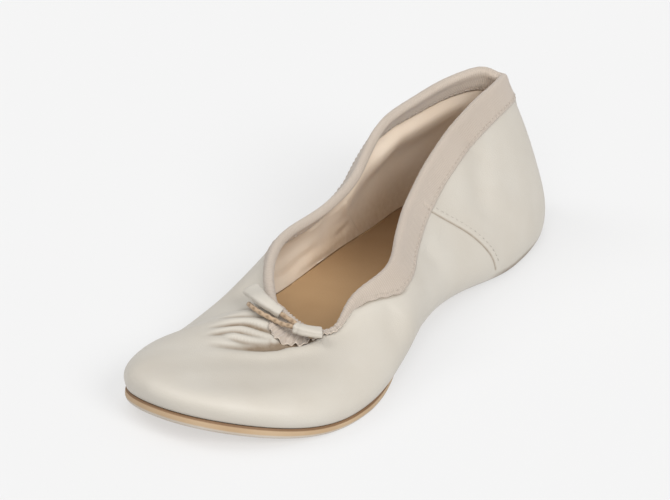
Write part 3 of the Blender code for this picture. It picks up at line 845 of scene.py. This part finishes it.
lining_around = np.arange(LINING_COLUMNS)[None, :] / LINING_COLUMNS
lining_top = share_below_top(lining_around, np.full_like(lining_around, LINING_TOP_DROP))
lining_up = np.linspace(LINING_LOW_EDGE, 1.0, LINING_ROWS)[:, None] * lining_top
smooth_wall, wall_out, _ = wall_frame(lining_around, lining_up)
whole_around = np.broadcast_to(lining_around, lining_up.shape)
relief = wall_relief(whole_around, smooth_wall, wall_out) * smooth_step(lining_up, 0.0, SETTLED_FROM)
lining_drop = np.linalg.norm(smooth_wall - top_line(whole_around), axis=-1)
own_folds = crease_height(smooth_wall, wall_out, LINING_CREASES)
own_folds *= smooth_step(lining_drop, *LINING_FREE_DROP)
# Under the upper's troughs the lining hangs a little further in, and a point is as far in as its neighbours.
relief -= LINING_SLACK * np.clip(-relief, 0.0, None)
for axis in (0, 1):
    relief = np.minimum(relief, np.minimum(np.roll(relief, 1, axis), np.roll(relief, -1, axis)))
back = (smooth_wall + wall_out * (relief - UPPER_THICKNESS - LINING_GAP)[..., None])[::2]
face = smooth_wall + wall_out * (relief - WALL - own_folds)[..., None]
lining_points = np.concatenate([face[::-1], back])
lining_mesh = grid_mesh("lining", lining_points)

# Painted shade low in the heel half of the lining, deep in the shoe, and in the lining's own folds.
deep_shade = 1.0 - smooth_step(lining_up, *LINING_LOW_SPAN)
deep_shade *= smooth_step(smooth_wall[..., 1], *LINING_LOW_FROM)
fold_share = np.clip(-own_folds / LINING_FOLD_DEPTH, 0.0, 1.0)
face_shade = np.maximum(LINING_FOLD_SHADE * fold_share, LINING_LOW_SHADE * deep_shade)
paint(lining_mesh, "crease", np.concatenate([face_shade[::-1], np.zeros(back.shape[:-1])]))
lining_leather = leather_finish("grey beige lining", LINING, LINING_SHADE, LINING_DEEP_SHADE, LINING_GRAIN_RISE,
                                LINING_FRONT_SHADE)
put("lining", lining_mesh, lining_leather, "insole_leather")


# Outsole
# One layer of tan sole leather, thin as a ballet sole. Its edge is trimmed and bevelled at the floor, with
# painted shadow along its top under the upper; at waist and heel it draws in under the rolled upper.
SOLE_INSET = 0.0048
SOLE_PROUD = 0.0004
SOLE_COLUMNS = 420
SOLE_PROFILE = (
    (0.00040, 1.00), (0.00040, 0.94), (0.00035, 0.89), (0.00010, 0.85), (-0.00002, 0.78), (-0.00008, 0.66),
    (-0.00012, 0.52), (-0.00012, 0.38), (-0.00006, 0.26), (0.00010, 0.14), (0.00035, 0.06), (0.00075, 0.00),
)
PLATE_RINGS = (0.985, 0.95, 0.90, 0.80, 0.65, 0.50, 0.35, 0.20, 0.10)
SPINE_SHARE = 0.80
TAN = (0.440, 0.318, 0.200, 1.0)
TAN_PALE = (0.500, 0.455, 0.400, 1.0)
TAN_SHADOW = (0.200, 0.115, 0.058, 1.0)
TAN_PATCH = (0.80, 0.72, 0.62, 1.0)
# The colours of the edge by the share of its height; the dark top is painted shadow under the upper.
SOLE_BAND = (
    (0.00, TAN), (0.03, TAN_PALE), (0.24, TAN_PALE), (0.38, TAN), (0.74, TAN), (0.83, TAN_SHADOW),
    (1.00, TAN_SHADOW),
)
SOLE_FIBRE_SCALE = 900.0
SOLE_PATCH_SCALE = 60.0
SOLE_FIBRE_RISE = 0.00008


def sole_inset(around):
    """The sole stands a little proud at the toe and draws in under the roll at waist and heel."""
    tuck = tuck_share(around)
    return SOLE_INSET * tuck - SOLE_PROUD * (1.0 - tuck)


def close_ends(mesh):
    """Fill a mesh's open ends and turn its faces outwards."""
    shape = bmesh.new()
    shape.from_mesh(mesh)
    bmesh.ops.holes_fill(shape, edges=[line for line in shape.edges if line.is_boundary], sides=0)
    bmesh.ops.recalc_face_normals(shape, faces=shape.faces)
    shape.to_mesh(mesh)
    shape.free()
    mesh.shade_smooth()


def plate_mesh(name, edge, profile, top_height, bottom_height):
    """A plate from its edge line: rings run inwards over the top, down the profile and in under the bottom.

    A ring is the edge line drawn towards the plate's spine: edge times ring plus spine times 1 - ring. The
    profile's rows hold how far the edge is cut in, in metres, and the height as a share of the thickness.
    """
    inwards = np.roll(edge, -1, axis=0) - np.roll(edge, 1, axis=0)
    inwards = unit(np.stack([inwards[:, 1], -inwards[:, 0]], axis=-1))
    half = len(edge) // 2
    across = []
    for side in (edge[:half], edge[half:]):
        side = side[np.argsort(side[:, 1])]
        across.append(np.interp(edge[:, 1], side[:, 1], side[:, 0]))
    middle = edge[:, 1].mean()
    spine = np.stack([sum(across) / 2.0, middle + (edge[:, 1] - middle) * SPINE_SHARE], axis=-1)
    low_edge = edge + inwards * profile[-1][0]
    rows = [(edge * ring + spine * (1.0 - ring), 1.0) for ring in PLATE_RINGS[::-1]]
    rows += [(edge + inwards * cut, height) for cut, height in profile]
    rows += [(low_edge * ring + spine * (1.0 - ring), 0.0) for ring in PLATE_RINGS]
    points = []
    for plan, height in rows[::-1]:
        low = bottom_height(plan[:, 1])
        high = top_height(plan[:, 1])
        points.append(np.column_stack([plan, low + (high - low) * height]))
    mesh = grid_mesh(name, np.array(points), rows_closed=False)
    close_ends(mesh)
    paint(mesh, "height", np.repeat([height for _, height in rows[::-1]], len(edge)))
    return mesh


sole_around = np.arange(SOLE_COLUMNS) / SOLE_COLUMNS
sole_foot, sole_out = foot_line(sole_around)
sole_edge = (sole_foot - sole_out * sole_inset(sole_around)[:, None])[:, :2]
sole_mesh = plate_mesh("outsole_leather", sole_edge, SOLE_PROFILE, sole_top, sole_bottom)

tan_sole, tree, inputs = new_finish("tan sole leather", specular_ior_level=0.35)
place = object_place(tree)
fibre = place.noise(SOLE_FIBRE_SCALE)
patches = place.noise(SOLE_PATCH_SCALE).between(0.35, 0.7) * 0.5
band = tree.node("ShaderNodeValToRGB", {"stops": SOLE_BAND}, {0: painted(tree, "height")})
drive(inputs, base_color=patches.blend(band, TAN_PATCH, "MULTIPLY"), roughness=0.50 + 0.2 * fibre,
      normal=fibre.bump(SOLE_FIBRE_RISE, 0.6))
put("outsole_leather", sole_mesh, tan_sole, "sole_leather", "outsole")


# Insole
# A tan leather sock over a thin board, laid on the turned-in margin and reaching the lining all round. It is
# painted darker from the waist back to the heel, as painted shade deep inside the heel.
INSOLE_THICKNESS = 0.0016
INSOLE_CLEARANCE = 0.0002
INSOLE_COLUMNS = 420
INSOLE_PROFILE = ((0.0006, 1.00), (0.0002, 0.93), (0.0000, 0.80), (0.0004, 0.40), (0.0012, 0.00))
INSOLE_TAN = (0.470, 0.305, 0.160, 1.0)
INSOLE_SHADE = (0.415, 0.260, 0.130, 1.0)
INSOLE_HEEL_SHADE = (0.215, 0.120, 0.055, 1.0)
HEEL_SHADE_SPAN = (-0.010, 0.085)
WEAR_SCALE = 28.0
PORE_SCALE = 1100.0
PORE_RISE = 0.00006
EDGE_SEARCH_TOP = 0.5
EDGE_SEARCH_ROWS = 61


def insole_top(along):
    """Height of the face that the foot stands on."""
    return above_sole(along, GAP + WALL + GAP + INSOLE_THICKNESS)


def insole_bottom(along):
    """Height of the insole's underside, just clear of the turned-in margin."""
    return above_sole(along, GAP + WALL + GAP)


insole_around = np.arange(INSOLE_COLUMNS) / INSOLE_COLUMNS
low_up = np.linspace(0.0, EDGE_SEARCH_TOP, EDGE_SEARCH_ROWS)[:, None]
point, outwards, _ = wall_frame(insole_around[None, :], low_up)
inside = point - outwards * (WALL + INSOLE_CLEARANCE)
over = inside[..., 2] - insole_top(inside[..., 1])
above = np.argmax(over > 0.0, axis=0)
below = above - 1
column = np.arange(INSOLE_COLUMNS)
share = over[below, column] / (over[below, column] - over[above, column])
step = inside[above, column] - inside[below, column]
insole_edge = (inside[below, column] + step * share[:, None])[:, :2]
insole_mesh = plate_mesh("insole_leather", insole_edge, INSOLE_PROFILE, insole_top, insole_bottom)

tan_insole, tree, inputs = new_finish("tan insole leather", specular_ior_level=0.35)
place = object_place(tree)
wear = place.noise(WEAR_SCALE)
pores = tree.node("ShaderNodeTexVoronoi", {}, {"Vector": place, "Scale": PORE_SCALE})
tan = wear.between(0.35, 0.65).blend(INSOLE_TAN, INSOLE_SHADE)
# Painted shade: darker from the waist back to the heel.
drive(inputs, base_color=place.part(1).between(*HEEL_SHADE_SPAN).blend(tan, INSOLE_HEEL_SHADE),
      roughness=0.48 + 0.15 * wear, normal=pores.bump(PORE_RISE, 0.5))
put("insole_leather", insole_mesh, tan_insole, "insole_leather", "insole")


# Heel strip
# A strip of the same nappa over the seam at the back of the heel, from the sole up to the tape, sewn down
# along both edges.
STRIP_WIDTH = 0.0130
STRIP_THICKNESS = 0.0009
STRIP_LOW_SHARE = 0.04
STRIP_UNDER_TAPE = 0.0015
STRIP_SUNK = 0.0002
STRIP_ROWS = 61
STRIP_FIRST_GUESS = 0.02
STRIP_STITCH_INSET = 0.0024
STRIP_STITCH_SEAT = 0.85
TAPE_WIDTH = 0.0095
# Half the strip's section: shares of its half width from the middle, and of its thickness there.
STRIP_SECTION = (
    (0.00, 1.00), (0.25, 1.00), (0.45, 0.97), (0.63, 0.88), (0.80, 0.98), (0.93, 0.95), (0.985, 0.72),
    (1.00, 0.35),
)


def strip_places(share_across, up):
    """Shares around at which the wall lies so far from the middle of the heel, closed in on step by step."""
    middle = wall_point(np.zeros_like(up), up)
    wanted = np.abs(share_across) * STRIP_WIDTH / 2.0
    found = -np.sign(share_across) * STRIP_FIRST_GUESS * np.ones_like(up)
    for _ in range(CLOSING_ROUNDS):
        reached = np.linalg.norm(wall_point(found, up) - middle, axis=-1)
        found = found * np.where(wanted > 0.0, wanted / np.maximum(reached, TINY), 0.0)
    return found


strip_high = share_below_top(0.0, TAPE_WIDTH - STRIP_UNDER_TAPE)
strip_up = np.linspace(STRIP_LOW_SHARE, strip_high, STRIP_ROWS)[:, None]
half_section = np.array(STRIP_SECTION)
section = np.concatenate([half_section[:0:-1] * (-1.0, 1.0), half_section])
strip_around = strip_places(section[None, :, 0], strip_up)
point, outwards, _ = skin(strip_around, strip_up * np.ones_like(strip_around))
strip_face = point + outwards * (STRIP_THICKNESS * section[:, 1])[None, :, None]
strip_back = point - outwards * STRIP_SUNK
strip_loop = np.concatenate([strip_face, strip_back[:, ::-1]], axis=1)
strip_mesh = grid_mesh("heel_strip", strip_loop, rows_closed=False)
close_ends(strip_mesh)
put("heel_strip", strip_mesh, nappa, "upper_leather", "heel_strap")

strip_rows = []
for side in (-1.0, 1.0):
    share_across = side * (1.0 - 2.0 * STRIP_STITCH_INSET / STRIP_WIDTH)
    row_around = strip_places(np.full_like(strip_up[:, 0], share_across), strip_up[:, 0])
    point, outwards, _ = skin(row_around, strip_up[:, 0], STRIP_THICKNESS * STRIP_STITCH_SEAT)
    strip_rows.append(stitch_row(point, outwards))
sew("strip_stitches", strip_rows, cream_thread, "upper_leather")


# Top line tape
# Ribbed beige cotton tape folded over the top edge, with the drawstring inside the fold. It shows full width
# outside at heel and sides, rolls in beside the throat, and is gathered where the string comes out.
TAPE_THICKNESS = 0.0006
TAPE_LIFT = 0.00075
TAPE_BEAD = 0.00035
TAPE_BEAD_WIDTH = 0.0018
TAPE_EDGE_DROP = 0.0002
TAPE_COLUMNS = 900
TAPE_LEG_ROWS = 13
TAPE_FOLD_ROWS = 9
TAPE_LEG = (
    (0.000, 1.00), (0.270, 1.00), (0.306, 0.92), (0.321, 0.72), (0.335, 0.52), (0.352, 0.34), (0.373, 0.17),
    (0.400, 0.13), (0.448, 0.15), (0.466, 0.34), (0.486, 1.05), (0.505, 1.36), (0.520, 1.05), (0.536, 0.62),
    (0.556, 0.32), (0.580, 0.17), (0.610, 0.13), (0.655, 0.14), (0.685, 0.35), (0.715, 0.80), (0.745, 1.00),
    (1.000, 1.00),
)
TAPE_PUCKER = ((0.000, 0.10), (0.250, 0.12), (0.380, 0.20), (0.450, 0.80), (0.500, 1.00), (0.560, 0.80),
               (0.620, 0.25), (0.750, 0.12), (1.000, 0.10))
PUCKER_RISE = 0.00030
PUCKER_COUNT = 118.0
PUCKER_SLANT = 1.3
PUCKER_SLANT_TURN = 23.0
PUCKER_LEAST = 0.3
TUNNEL_RISE = 0.0010
TUNNEL_COUNT = 62.0
TUNNEL_REACH = 0.0020
TAPE = (0.478, 0.416, 0.357, 1.0)
TAPE_SHADE = (0.400, 0.335, 0.277, 1.0)
# The inner leg is lighter: partly its own lining-like colour, partly painted light inside the shoe.
TAPE_INSIDE = (0.640, 0.555, 0.470, 1.0)
TAPE_INSIDE_SPAN = (0.0128, 0.0160)
RIB_PITCH = 0.00085
YARN_PITCH = 0.00051
FUZZ_SCALE = 900.0
SOIL_SCALE = 45.0
WEAVE_RISE = 0.00022
INNER_SETTLE = 0.00045
INNER_SETTLE_REACH = 0.0035


def read_table(table, around):
    """A short table of places around and values, read with smooth steps between its rows."""
    places, values = np.array(table).T
    span = np.clip(np.searchsorted(places, around, side="right") - 1, 0, len(places) - 2)
    share = smooth_step(around, places[span], places[span + 1])
    return values[span] * (1.0 - share) + values[span + 1] * share


def inner_settled(drop):
    """How far the inner leg's lower edge sinks onto the lining: all of it at the edge, none a reach above."""
    return INNER_SETTLE * smooth_step(drop, TAPE_WIDTH - INNER_SETTLE_REACH, TAPE_WIDTH)


def tape_rows(around, lift):
    """Rows of the folded tape, lifted off the wall: up the outer leg, round the fold, down the inner leg.

    A leg lies on the wall at even drops; the fold is a half circle about the middle of the wall's top edge.
    """
    leg = TAPE_WIDTH * read_table(TAPE_LEG, around)
    gathered = read_table(TAPE_PUCKER, around)
    turn = 2.0 * math.pi * (PUCKER_COUNT * around + PUCKER_SLANT * np.sin(PUCKER_SLANT_TURN * around))
    pucker = PUCKER_RISE * gathered * np.sin(turn)
    share = np.linspace(1.0, 0.0, TAPE_LEG_ROWS + 1)[:-1, None]
    outer_drop = leg * share + TAPE_EDGE_DROP
    point, outwards, _ = skin(around, share_below_top(around, outer_drop))
    open_end = bell(outer_drop, leg, TUNNEL_REACH) * gathered ** 2
    tunnel = TUNNEL_RISE * open_end * np.clip(np.sin(2.0 * math.pi * TUNNEL_COUNT * around), 0.0, 1.0)
    bead = TAPE_BEAD * bell(outer_drop, 0.0, TAPE_BEAD_WIDTH)
    outer = point + outwards * (lift + pucker * (PUCKER_LEAST + share) + tunnel + bead)[..., None]
    edge, edge_out, edge_up = skin(around, np.ones_like(around))
    turn = math.pi * np.linspace(0.0, 1.0, TAPE_FOLD_ROWS + 2)[1:-1, None, None]
    radius = WALL / 2.0 + lift + TAPE_BEAD
    fold = (edge - edge_out * WALL / 2.0 + edge_up * pucker[..., None]
            + radius * (edge_out * np.cos(turn) + edge_up * np.sin(turn)))
    share = share[::-1]
    inner_drop = TAPE_WIDTH * share + TAPE_EDGE_DROP
    point, outwards, _ = skin(around, share_below_top(around, inner_drop))
    bead = TAPE_BEAD * bell(inner_drop, 0.0, TAPE_BEAD_WIDTH)
    depth = WALL + lift - inner_settled(inner_drop)
    inner = point - outwards * (depth - pucker * (PUCKER_LEAST + share) + bead)[..., None]
    return np.concatenate([outer, fold, inner])


tape_around = np.arange(TAPE_COLUMNS)[None, :] / TAPE_COLUMNS
outside = tape_rows(tape_around, TAPE_LIFT)
underside = tape_rows(tape_around, TAPE_LIFT - TAPE_THICKNESS)
tape_points = np.concatenate([outside, underside[::-1]])
edge_row = outside[TAPE_LEG_ROWS + TAPE_FOLD_ROWS // 2]
along_reach = line_reach(np.concatenate([edge_row, edge_row[:1]]))
across_reach = line_reach(tape_points[:, 0])
across_reach = np.concatenate([across_reach, across_reach[-1:] + TAPE_THICKNESS])
tape_uv = np.stack(np.broadcast_arrays(along_reach[None, :], across_reach[:, None]), axis=-1)
tape_mesh = grid_mesh("topline_ribbon", tape_points, uv=tape_uv)

ribbed_tape, tree, inputs = new_finish("ribbed beige tape", specular_ior_level=0.15, sheen_weight=0.25,
                                       sheen_roughness=0.5)
place = object_place(tree)
cloth = tree.node("ShaderNodeUVMap", {"uv_map": "cloth"})
along_tape = cloth.part(0)
across_tape = cloth.part(1)
rib = (along_tape * (2.0 * math.pi / RIB_PITCH)).sine() * 0.5 + 0.5
yarn_turn = across_tape * (2.0 * math.pi / YARN_PITCH) + along_tape * (math.pi / RIB_PITCH)
fuzz = place.noise(FUZZ_SCALE)
weave = rib * 0.65 + (yarn_turn.sine() * 0.5 + 0.5) * 0.2 + fuzz * 0.3
# The ribs' troughs get painted shade, mixed with a random soiled tone.
soil_and_rib_shade = (weave * 0.6 + place.noise(SOIL_SCALE) * 0.5).between(0.30, 0.95).blend(TAPE_SHADE, TAPE)
# Lighter on the inner leg: partly its own colour, partly painted light.
drive(inputs, base_color=across_tape.between(*TAPE_INSIDE_SPAN).blend(soil_and_rib_shade, TAPE_INSIDE),
      roughness=0.80 + 0.15 * fuzz, normal=weave.bump(WEAVE_RISE, 0.7))
put("topline_ribbon", tape_mesh, ribbed_tape, "tape", "topline_tape")

# One row of stitches holds the outer leg where it is wide and not gathered, and one the inner leg all round.
BEIGE_THREAD = (0.490, 0.425, 0.362, 1.0)
TAPE_STITCH_INSET = 0.0011
TAPE_STITCH_STEPS = 1500
SEWN_LEG = 0.0045
GATHERED_SPAN = (0.46, 0.60)
stitch_around = np.linspace(0.0, 1.0, TAPE_STITCH_STEPS)
stitch_leg = TAPE_WIDTH * read_table(TAPE_LEG, stitch_around)
gathered = (stitch_around > GATHERED_SPAN[0]) & (stitch_around < GATHERED_SPAN[1])
sewn = (stitch_leg > SEWN_LEG) & ~gathered
outer_up = share_below_top(stitch_around, stitch_leg - TAPE_STITCH_INSET)
point, outwards, _ = skin(stitch_around, outer_up, TAPE_LIFT)
breaks = np.flatnonzero(np.diff(sewn.astype(int))) + 1
runs = np.split(np.arange(TAPE_STITCH_STEPS), breaks)
tape_stitch_rows = [stitch_row(point[run], outwards[run]) for run in runs if sewn[run[0]]]
inner_drop = TAPE_WIDTH - TAPE_STITCH_INSET
inner_depth = WALL + TAPE_LIFT - inner_settled(inner_drop)
inner_point, inner_out, _ = skin(stitch_around, share_below_top(stitch_around, inner_drop), -inner_depth)
tape_stitch_rows.append(stitch_row(inner_point, -inner_out))
sew("tape_stitches", tape_stitch_rows, thread_finish("beige thread", BEIGE_THREAD), "tape")


# Drawstring
# The two ends of a round braided tan cord, which come out of the gathered tape at the throat and cross. Their
# routes are the share of the way around, the drop below the top line and the lift off the wall.
CORD_DIAMETER = 0.0018
CORD_RING_STEP = 0.00022
CORD_SIDES = 20
BRAID_PITCH = 0.0032
BRAID_RISE = 0.07
CORD_FIBRE_SCALE = 2200.0
CORD_FIBRE_RISE = 0.00008
TIP_END_WALL = 0.0008
TIP_CLEARANCE = 0.0004
BOW = {
    "outer": {
        "route": (
            (0.580, 0.0087, 0.0021), (0.558, 0.0082, 0.0021), (0.5475, 0.0079, 0.0021),
            (0.539, 0.0075, 0.0021), (0.5315, 0.0070, 0.0021), (0.5245, 0.0067, 0.0022),
            (0.516, 0.0070, 0.0028), (0.508, 0.0075, 0.0037), (0.5005, 0.0080, 0.0046),
            (0.493, 0.0083, 0.0051), (0.4825, 0.0082, 0.0052), (0.466, 0.0069, 0.0048),
            (0.448, 0.0057, 0.0044),
        ),
        "tip_length": 0.0098,
        "tip_end_width": 0.0046,
    },
    "inner": {
        "route": (
            (0.4675, 0.0067, 0.0021), (0.476, 0.0052, 0.0021), (0.487, 0.0036, 0.0021),
            (0.5005, 0.0025, 0.0022), (0.511, 0.0028, 0.0027), (0.5195, 0.0034, 0.0033),
            (0.5275, 0.0037, 0.0038), (0.544, 0.0040, 0.0042), (0.5615, 0.0048, 0.0048),
            (0.6055, 0.0059, 0.0058),
        ),
        "tip_length": 0.0200,
        "tip_end_width": 0.0064,
    },
}
CORD_TAN = (0.430, 0.318, 0.215, 1.0)
CORD_GROOVE_SHADE = (0.215, 0.142, 0.088, 1.0)


def route_line(route):
    """A cord's middle line, its points joined smoothly, with the wall's outward direction and its reach."""
    triples = smooth_through(np.array(route), ROUTE_STEPS)
    point, outwards, _ = wall_frame(triples[:, 0], share_below_top(triples[:, 0], triples[:, 1]))
    line = point + outwards * triples[:, 2:]
    return line, outwards, line_reach(line)


def tube_points(route, distances, across, rise):
    """Rings at distances along a route, square to it: across lies in the wall and rise stands off it."""
    line, outwards, reach = route
    path = read_line(line, reach, distances)
    ahead = unit(np.gradient(path, axis=0))
    sideways = unit(np.cross(read_line(outwards, reach, distances), ahead))
    upwards = np.cross(ahead, sideways)
    return path[:, None] + sideways[:, None] * across[..., None] + upwards[:, None] * rise[..., None]


# The cord is painted darker in the grooves between its strands: painted shade.
braided_cord, tree, inputs = new_finish("tan braided cord", specular_ior_level=0.25, sheen_weight=0.1)
fibre = object_place(tree).noise(CORD_FIBRE_SCALE, 2.0)
braid_shade = (painted(tree, "braid") * 0.8 + fibre * 0.3).between(0.1, 0.9)
drive(inputs, base_color=braid_shade.blend(CORD_GROOVE_SHADE, CORD_TAN), roughness=0.65 + 0.2 * fibre,
      normal=fibre.bump(CORD_FIBRE_RISE, 0.5))

turn = 2.0 * math.pi * np.arange(CORD_SIDES)[None, :] / CORD_SIDES
for side, end in BOW.items():
    route = route_line(end["route"])
    line, _, reach = route
    cord_length = reach[-1] - TIP_END_WALL - TIP_CLEARANCE
    distances = np.linspace(0.0, cord_length, int(cord_length / CORD_RING_STEP))
    twist = 2.0 * math.pi * distances[:, None] / BRAID_PITCH
    strands = np.maximum(np.sin(2.0 * turn + twist), np.sin(2.0 * turn - twist))
    radius = CORD_DIAMETER / 2.0 * (1.0 - BRAID_RISE + BRAID_RISE * strands)
    cord_points = tube_points(route, distances, radius * np.cos(turn), radius * np.sin(turn))
    cord_mesh = grid_mesh("drawstring_" + side, cord_points, rows_closed=False)
    close_ends(cord_mesh)
    paint(cord_mesh, "braid", 0.5 + 0.5 * strands)
    end["cord"] = put("drawstring_" + side, cord_mesh, braided_cord, "cord", "bow_cord_" + side)
    path = read_line(line, reach, distances)
    end["path"] = path + LAST_SHIFT
    end["length"] = float(line_reach(path)[-1])


# Bow sleeves
# A strip of cream nappa folded round each cord's end and pressed flat, narrow at the mouth and wide at its
# cut end, with the strip's free edge glued down along the lower side.
TIP_MOUTH_WIDTH = 0.0036
TIP_MOUTH_THICKNESS = 0.0034
TIP_END_THICKNESS = 0.0025
TIP_FLARE_POWER = 0.9
TIP_RINGS = 46
TIP_SIDES = 56
TIP_SECTION_POWER = 0.62
TIP_BORE_DEPTH = 0.0030
TIP_BORE_RADIUS = 0.00115
TIP_BORE_FLARE = 0.0003
TIP_BORE_RINGS = 6
TIP_LAP = 0.00035
# The lap rises and falls over these angles of the section, in radians.
TIP_LAP_RISE = (3.05, 3.20)
TIP_LAP_FALL = (3.3, 5.6)
# Shares of the sleeve's length and, last in each row, of its width: the start, length and depth of the cut
# end's rounding, the length and depth of the mouth's, and the middle, reach and depth of the pressed place.
TIP_END_ROUND = (0.93, 0.075, 0.30)
TIP_MOUTH_ROUND = (0.05, 0.10)
TIP_PRESS = (0.16, 0.05, 0.10)


def sleeve_section(turn, width, thickness):
    """A flattened round section: powers of cosine and sine with their signs, raised where the strip laps."""
    across = np.sign(np.cos(turn)) * np.abs(np.cos(turn)) ** TIP_SECTION_POWER * width / 2.0
    rise = np.sign(np.sin(turn)) * np.abs(np.sin(turn)) ** TIP_SECTION_POWER * thickness / 2.0
    lap = TIP_LAP * smooth_step(turn, *TIP_LAP_RISE) * (1.0 - smooth_step(turn, *TIP_LAP_FALL))
    return across * (1.0 + lap / (width / 2.0)), rise * (1.0 + lap / (thickness / 2.0))


def end_rounding(share):
    """1 along the sleeve, less a share of its width towards the cut end, as a quarter circle falls."""
    start, length, depth = TIP_END_ROUND
    fallen = np.clip((share - start) / length, 0.0, 1.0)
    return 1.0 - depth + depth * np.sqrt(1.0 - fallen ** 2)


def mouth_shape(share):
    """1 along the sleeve, a little less at its mouth and where it is pressed onto the cord."""
    mouth_length, mouth_depth = TIP_MOUTH_ROUND
    press_middle, press_width, press_depth = TIP_PRESS
    mouth = 1.0 - mouth_depth * smooth_step(share, mouth_length, 0.0)
    return mouth * (1.0 - press_depth * bell(share, press_middle, press_width))


turn = 2.0 * math.pi * np.arange(TIP_SIDES)[None, :] / TIP_SIDES
share = np.linspace(0.0, 1.0, TIP_RINGS)[:, None]
bore_reach = np.linspace(0.0, TIP_BORE_DEPTH, TIP_BORE_RINGS)
bore_radius = np.full((TIP_BORE_RINGS, 1), TIP_BORE_RADIUS)
bore_radius[0] += TIP_BORE_FLARE
for side, end in BOW.items():
    route = route_line(end["route"])
    _, _, reach = route
    distances = reach[-1] - end["tip_length"] * (1.0 - share[:, 0])
    width = TIP_MOUTH_WIDTH + (end["tip_end_width"] - TIP_MOUTH_WIDTH) * share ** TIP_FLARE_POWER
    width *= (0.5 + 0.5 * end_rounding(share)) * mouth_shape(share)
    thickness = TIP_MOUTH_THICKNESS + (TIP_END_THICKNESS - TIP_MOUTH_THICKNESS) * share
    thickness *= end_rounding(share) * mouth_shape(share)
    outer_rings = tube_points(route, distances, *sleeve_section(turn, width, thickness))
    bore_rings = tube_points(route, distances[0] + bore_reach,
                             bore_radius * np.cos(turn), bore_radius * np.sin(turn))
    tip_points = np.concatenate([bore_rings[::-1], outer_rings])
    tip_mesh = grid_mesh("bow_sleeve_" + side, tip_points, rows_closed=False)
    close_ends(tip_mesh)
    end["sleeve"] = put("bow_sleeve_" + side, tip_mesh, nappa, "upper_leather", "bow_tip_" + side)


# Studio
# A plain pale floor under soft light from all round, strongest from the shoe's outer side, and a long lens at
# the photograph's angle to the shoe.
FLOOR_SIZE = 6.0
FLOOR = (0.29, 0.29, 0.29, 1.0)
FLOOR_GLOW = 0.54
AIM = Vector((-0.0090, -0.0050, 0.0270))
CAMERA_AZIMUTH = 29.024
CAMERA_ELEVATION = 24.972
CAMERA_ROLL = 1.964
CAMERA_DISTANCE = 1.2918
CAMERA_LENS = 191.2
SENSOR_WIDTH = 36.0
WORLD_LIGHT = 0.45
WHITE = (1.0, 1.0, 1.0, 1.0)
# Each soft light: the way towards it, its strength and how many degrees of the sky it fills.
SUNS = {
    "soft_top": (Vector((-0.05, -0.30, 0.95)), 0.60, 50.0),
    "soft_side": (Vector((0.74, -0.34, 0.58)), 1.85, 28.0),
    "soft_front": (Vector((0.34, -0.78, 0.52)), 0.90, 30.0),
    "soft_left": (Vector((-0.60, -0.30, 0.74)), 0.65, 30.0),
}

half = FLOOR_SIZE / 2.0
floor_mesh = bpy.data.meshes.new("studio_floor")
floor_mesh.from_pydata([(-half, -half, 0.0), (half, -half, 0.0), (half, half, 0.0), (-half, half, 0.0)], [],
                       [(0, 1, 2, 3)])
floor_paint, _, _ = new_finish("pale floor", roughness=0.9, specular_ior_level=0.1, base_color=FLOOR,
                               emission_color=WHITE, emission_strength=FLOOR_GLOW)
floor_mesh.materials.append(floor_paint)
floor = bpy.data.objects.new("studio_floor", floor_mesh)
bpy.context.scene.collection.objects.link(floor)

world = bpy.data.worlds.new("studio")
world.use_nodes = True
sky = world.node_tree.nodes["Background"].inputs
sky["Color"].default_value = WHITE
sky["Strength"].default_value = WORLD_LIGHT
bpy.context.scene.world = world

for name, (towards_light, strength, angle) in SUNS.items():
    sun = bpy.data.lights.new(name, "SUN")
    sun.energy = strength
    sun.angle = math.radians(angle)
    sun_object = bpy.data.objects.new(name, sun)
    sun_object.rotation_euler = towards_light.to_track_quat("Z", "Y").to_euler()
    bpy.context.scene.collection.objects.link(sun_object)

turn_about = math.radians(CAMERA_AZIMUTH)
tilt = math.radians(CAMERA_ELEVATION)
backwards = Vector((math.sin(turn_about) * math.cos(tilt), -math.cos(turn_about) * math.cos(tilt),
                    math.sin(tilt)))
camera = bpy.data.objects.new("camera", bpy.data.cameras.new("camera"))
camera.data.lens = CAMERA_LENS
camera.data.sensor_width = SENSOR_WIDTH
camera.location = AIM + backwards * CAMERA_DISTANCE
camera.rotation_euler = (-backwards).to_track_quat("-Z", "Y").to_euler()
camera.rotation_euler.rotate_axis("Z", math.radians(CAMERA_ROLL))
bpy.context.scene.collection.objects.link(camera)
bpy.context.scene.camera = camera
bpy.context.scene.view_settings.view_transform = "Standard"
